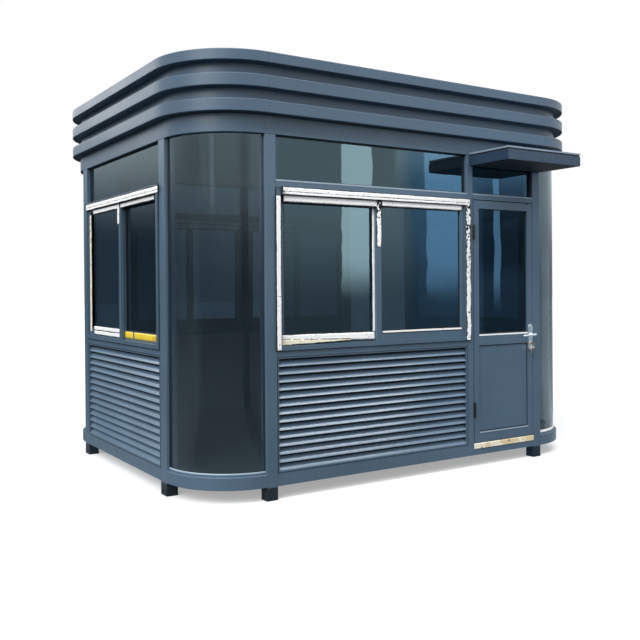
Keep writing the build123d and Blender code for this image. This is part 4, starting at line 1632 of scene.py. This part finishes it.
@dataclass
class Studio:
    """A pale floor, a white surround, soft lamps above and to the left, and the camera."""

    floor_half: float = 60.0
    floor_colour: str = "#d2d4d6"
    bounce_colour: str = "#3c3e40"
    floor_glow: float = 0.35
    sky_level: float = 0.75
    sun_level: float = 2.85
    sun_from: tuple[float, float, float] = (-0.70, -0.33, 0.63)
    sun_spread: float = 50.0
    lamps: tuple[SoftBox, ...] = (
        SoftBox("overhead_strip", (0.3, -3.3, 6.2), (0.3, -1.2, 1.4), 9.0, 0.55, 12.0),
        SoftBox("rear_left_box", (-5.5, 11.4, 6.0), (-1.7, 0.2, 2.6), 7.0, 3.4, 1.8))

    ring_sides: int = 96
    ring_inner: float = 0.3
    ring_radius: float = 8.0
    ring_foot: float = 0.002
    ring_top: float = 3.8
    ring_colour: str = "#c4d0dc"
    ring_slant: float = -0.085
    ring_fade: tuple[float, float] = (1.4, 3.2)
    ring_low_front: float = 0.31
    ring_low_rear: float = 0.014
    front_to_rear: tuple[float, float] = (-1.0, 4.0)
    apron_level: float = 0.16
    apron_top: float = 0.7
    darkest: float = 0.02
    panel_colour: str = "#ecfaff"
    panel_edge: float = 0.04
    panel_fade: float = 0.7
    panels: tuple[StripPanel, ...] = (
        StripPanel(-62.4, 1.7, 2.9, 1.1), StripPanel(-52.8, 2.0, 1.9, 1.0),
        StripPanel(-46.6, 2.5, -0.6, 1.3, 2.45), StripPanel(-47.0, 0.35, 1.8, 0.9),
        StripPanel(-46.3, 2.2, -0.22, -1.0, 2.4), StripPanel(-18.0, 14.0, 0.35, -1.0, 1.5),
        StripPanel(-120.0, 46.0, -0.24, -1.0, 1.9), StripPanel(-120.0, 44.0, 0.35, 2.3),
        StripPanel(-50.0, 8.0, 0.75, 2.8), StripPanel(-103.6, 5.4, -0.3, -1.0),
        StripPanel(-82.0, 10.5, 0.32, 2.5), StripPanel(-128.0, 13.0, 0.18, 2.7),
        StripPanel(-147.0, 3.0, 0.7, 2.1))
    blue_bearing: float = -49.5
    blue_half_width: float = 7.5
    blue_edge: float = 1.0
    blue_fade: tuple[float, float] = (3.0, 4.2)
    blue_colour: str = "#9accfa"

    camera_place: tuple[float, float, float] = (-3.7874, -5.7746, 1.3679)
    # yaw from straight at the front wall, pitch and roll, in radians
    camera_turn: tuple[float, float, float] = (0.5715, -0.0065, -0.0074)
    lens: float = 46.665
    sensor: float = 36.0
    shift_y: float = -0.04565
    clip: tuple[float, float] = (0.05, 500.0)

    def build(self) -> None:
        """Builds the whole studio."""
        self.floor()
        self.dark_surround()
        self.world()
        self.sun()
        for lamp in self.lamps:
            lamp.build()
        self.camera()

    def seen_directly(self, tree: NodeTree) -> Node:
        """One for rays from the camera, in gloss or through glass, and zero for lighting."""
        rays = add_node(tree, "LightPath").outputs
        near = add_node(tree, "Math", (rays["Is Camera Ray"], rays["Is Glossy Ray"]),
                        operation="MAXIMUM")
        return add_node(tree, "Math", (near, rays["Is Transmission Ray"]), operation="MAXIMUM")

    def floor(self) -> None:
        """A plain pale floor, white where it is lit and soft grey in the booth's shadow."""
        made = bpy.data.materials.new("matt_painted_studio_floor")
        tree = emptied(made)
        pale = add_node(tree, "BsdfDiffuse", {"Color": linear(self.floor_colour)})
        glow = add_node(tree, "Emission", {"Strength": self.floor_glow})
        bright = add_node(tree, "AddShader", (pale, glow))
        dull = add_node(tree, "BsdfDiffuse", {"Color": linear(self.bounce_colour)})
        add_node(tree, "OutputMaterial", {"Surface": add_node(
            tree, "MixShader", (self.seen_directly(tree), dull, bright))})
        flat = bmesh.new()
        bmesh.ops.create_grid(flat, x_segments=1, y_segments=1, size=self.floor_half)
        placed("studio_floor", flat, made)

    def dark_surround(self) -> None:
        """A wide dish of dark cloth, seen only in gloss, with a wall all round."""
        made = bpy.data.materials.new("dark_studio_cloth")
        tree = emptied(made)
        add_node(tree, "OutputMaterial", {"Surface": self.cloth(tree)})
        dish = bmesh.new()
        rim = edges_at(bmesh.ops.create_circle(
            dish, cap_ends=False, segments=self.ring_sides, radius=self.ring_inner,
            matrix=Matrix.Translation((0, 0, self.ring_foot)))["verts"])
        for scale, rise in ((self.ring_radius / self.ring_inner, 0.0), (1.0, self.ring_top)):
            points, rim = draw_rim(dish, rim)
            bmesh.ops.scale(dish, vec=(scale, scale, 1.0), verts=points)
            bmesh.ops.translate(dish, vec=(0, 0, rise), verts=points)
        surround = placed("dark_surround", dish, made)
        surround.visible_camera = surround.visible_diffuse = False
        surround.visible_transmission = surround.visible_shadow = False

    def cloth(self, tree: NodeTree) -> Node:
        """Builds the cloth's tone. It is paler in front of the booth than behind it, fades to white
        at its top and a little at its foot, and has pale panels and a blue stretch.

        Args:
            tree: The material's node tree.

        Returns:
            The shader.
        """
        place = add_node(tree, "TexCoord").outputs["Object"]
        axis = add_node(tree, "SeparateXYZ", [place]).outputs
        slanted = add_node(tree, "Math", (axis["Y"], self.ring_slant, axis["Z"]),
                           operation="MULTIPLY_ADD")
        lowest = add_node(tree, "MapRange", (
            axis["Y"], *self.front_to_rear, self.ring_low_front, self.ring_low_rear))
        fade = add_node(tree, "MapRange", (slanted, *self.ring_fade, lowest, 1.0),
                        interpolation_type="SMOOTHSTEP")
        apron = add_node(tree, "MapRange", (
            axis["Z"], 0.0, self.apron_top, self.apron_level, 0.0),
            interpolation_type="SMOOTHSTEP")
        level = add_node(tree, "Math", (fade, apron), operation="ADD")
        bearing = add_node(tree, "Math", (axis["Y"], axis["X"]), operation="ARCTAN2")
        for panel in self.panels:
            across = self.around(tree, bearing, panel.bearing, panel.half_width,
                                 panel.half_width * self.panel_edge, panel.strength)
            upward = add_node(tree, "MapRange", (
                axis["Z"], panel.low, panel.low + self.panel_fade),
                interpolation_type="SMOOTHSTEP")
            capped = add_node(tree, "MapRange", (
                axis["Z"], panel.high, panel.high + self.panel_fade, 1.0, 0.0),
                interpolation_type="SMOOTHSTEP")
            shown = add_node(tree, "Math", (upward, capped), operation="MULTIPLY")
            level = add_node(tree, "Math", (across, shown, level), operation="MULTIPLY_ADD")
        tone = add_node(tree, "Mix", (
            level, linear(self.ring_colour), linear(self.panel_colour)), data_type="RGBA")
        bluer = self.around(tree, bearing, self.blue_bearing, self.blue_half_width,
                            self.blue_edge, 1.0)
        low_down = add_node(tree, "MapRange", (axis["Z"], *self.blue_fade, 1.0, 0.0))
        blue = add_node(tree, "Math", (bluer, low_down), operation="MULTIPLY")
        tone = add_node(tree, "Mix", (blue, tone, linear(self.blue_colour)), data_type="RGBA")
        above_black = add_node(tree, "Math", (level, self.darkest), operation="MAXIMUM")
        return add_node(tree, "Emission", (tone, above_black))

    def around(self, tree: NodeTree, bearing: Node, middle: float, half_width: float,
               edge: float, level: float) -> Node:
        """Builds a tone that shows only about one bearing.

        Args:
            tree: The material's node tree.
            bearing: The bearing of each point of the cloth.
            middle: The bearing that it is centred on, in degrees.
            half_width: How far it goes each way.
            edge: How far its edge fades each way.
            level: The tone.

        Returns:
            The tone, which is zero elsewhere.
        """
        off = add_node(tree, "Math", (bearing, math.radians(middle)), operation="SUBTRACT")
        away = add_node(tree, "Math", [off], operation="ABSOLUTE")
        return add_node(tree, "MapRange", (
            away, math.radians(half_width + edge), math.radians(half_width - edge), 0.0, level))

    def world(self) -> None:
        """A world that is white behind everything and lights the booth at a plain level."""
        world = bpy.data.worlds.new("white_studio")
        bpy.context.scene.world = world
        tree = emptied(world)
        level = add_node(tree, "Mix", (self.seen_directly(tree), self.sky_level, 1.0))
        add_node(tree, "OutputWorld", {"Surface": add_node(
            tree, "Background", ((1, 1, 1, 1), level))})

    def sun(self) -> None:
        """A wide soft light from the upper left."""
        lamp = bpy.data.lights.new("soft_key", "SUN")
        lamp.energy = self.sun_level
        lamp.angle = math.radians(self.sun_spread)
        key = bpy.data.objects.new("soft_key", lamp)
        key.rotation_mode = "QUATERNION"
        key.rotation_quaternion = Vector(self.sun_from).to_track_quat("Z", "Y")
        bpy.context.scene.collection.objects.link(key)

    def camera(self) -> None:
        """The camera, at about a standing person's eye height, off the front left corner."""
        made = bpy.data.cameras.new("studio_camera")
        made.lens = self.lens
        made.sensor_width = self.sensor
        made.shift_y = self.shift_y
        made.clip_start, made.clip_end = self.clip
        camera = bpy.data.objects.new("studio_camera", made)
        yaw, pitch, roll = self.camera_turn
        camera.matrix_world = (
            Matrix.Translation(self.camera_place) @ Matrix.Rotation(-yaw, 4, "Z")
            @ Matrix.Rotation(math.pi / 2 + pitch, 4, "X") @ Matrix.Rotation(roll, 4, "Z"))
        bpy.context.scene.collection.objects.link(camera)
        bpy.context.scene.camera = camera
        bpy.context.scene.view_settings.view_transform = "Standard"


def main() -> None:
    """Builds the booth's looks in order."""
    logging.basicConfig(level=logging.INFO, format="%(name)s: %(message)s")
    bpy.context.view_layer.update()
    finishes = Finishes()
    for part in (FrameFinishes, Louvres, GlazingSeals, Joints, DoorDetails, Lock, Canopy,
                 ProtectiveFilms, YellowTape):
        part(finishes).build()
    Studio().build()


if __name__ == "__main__":
    main()
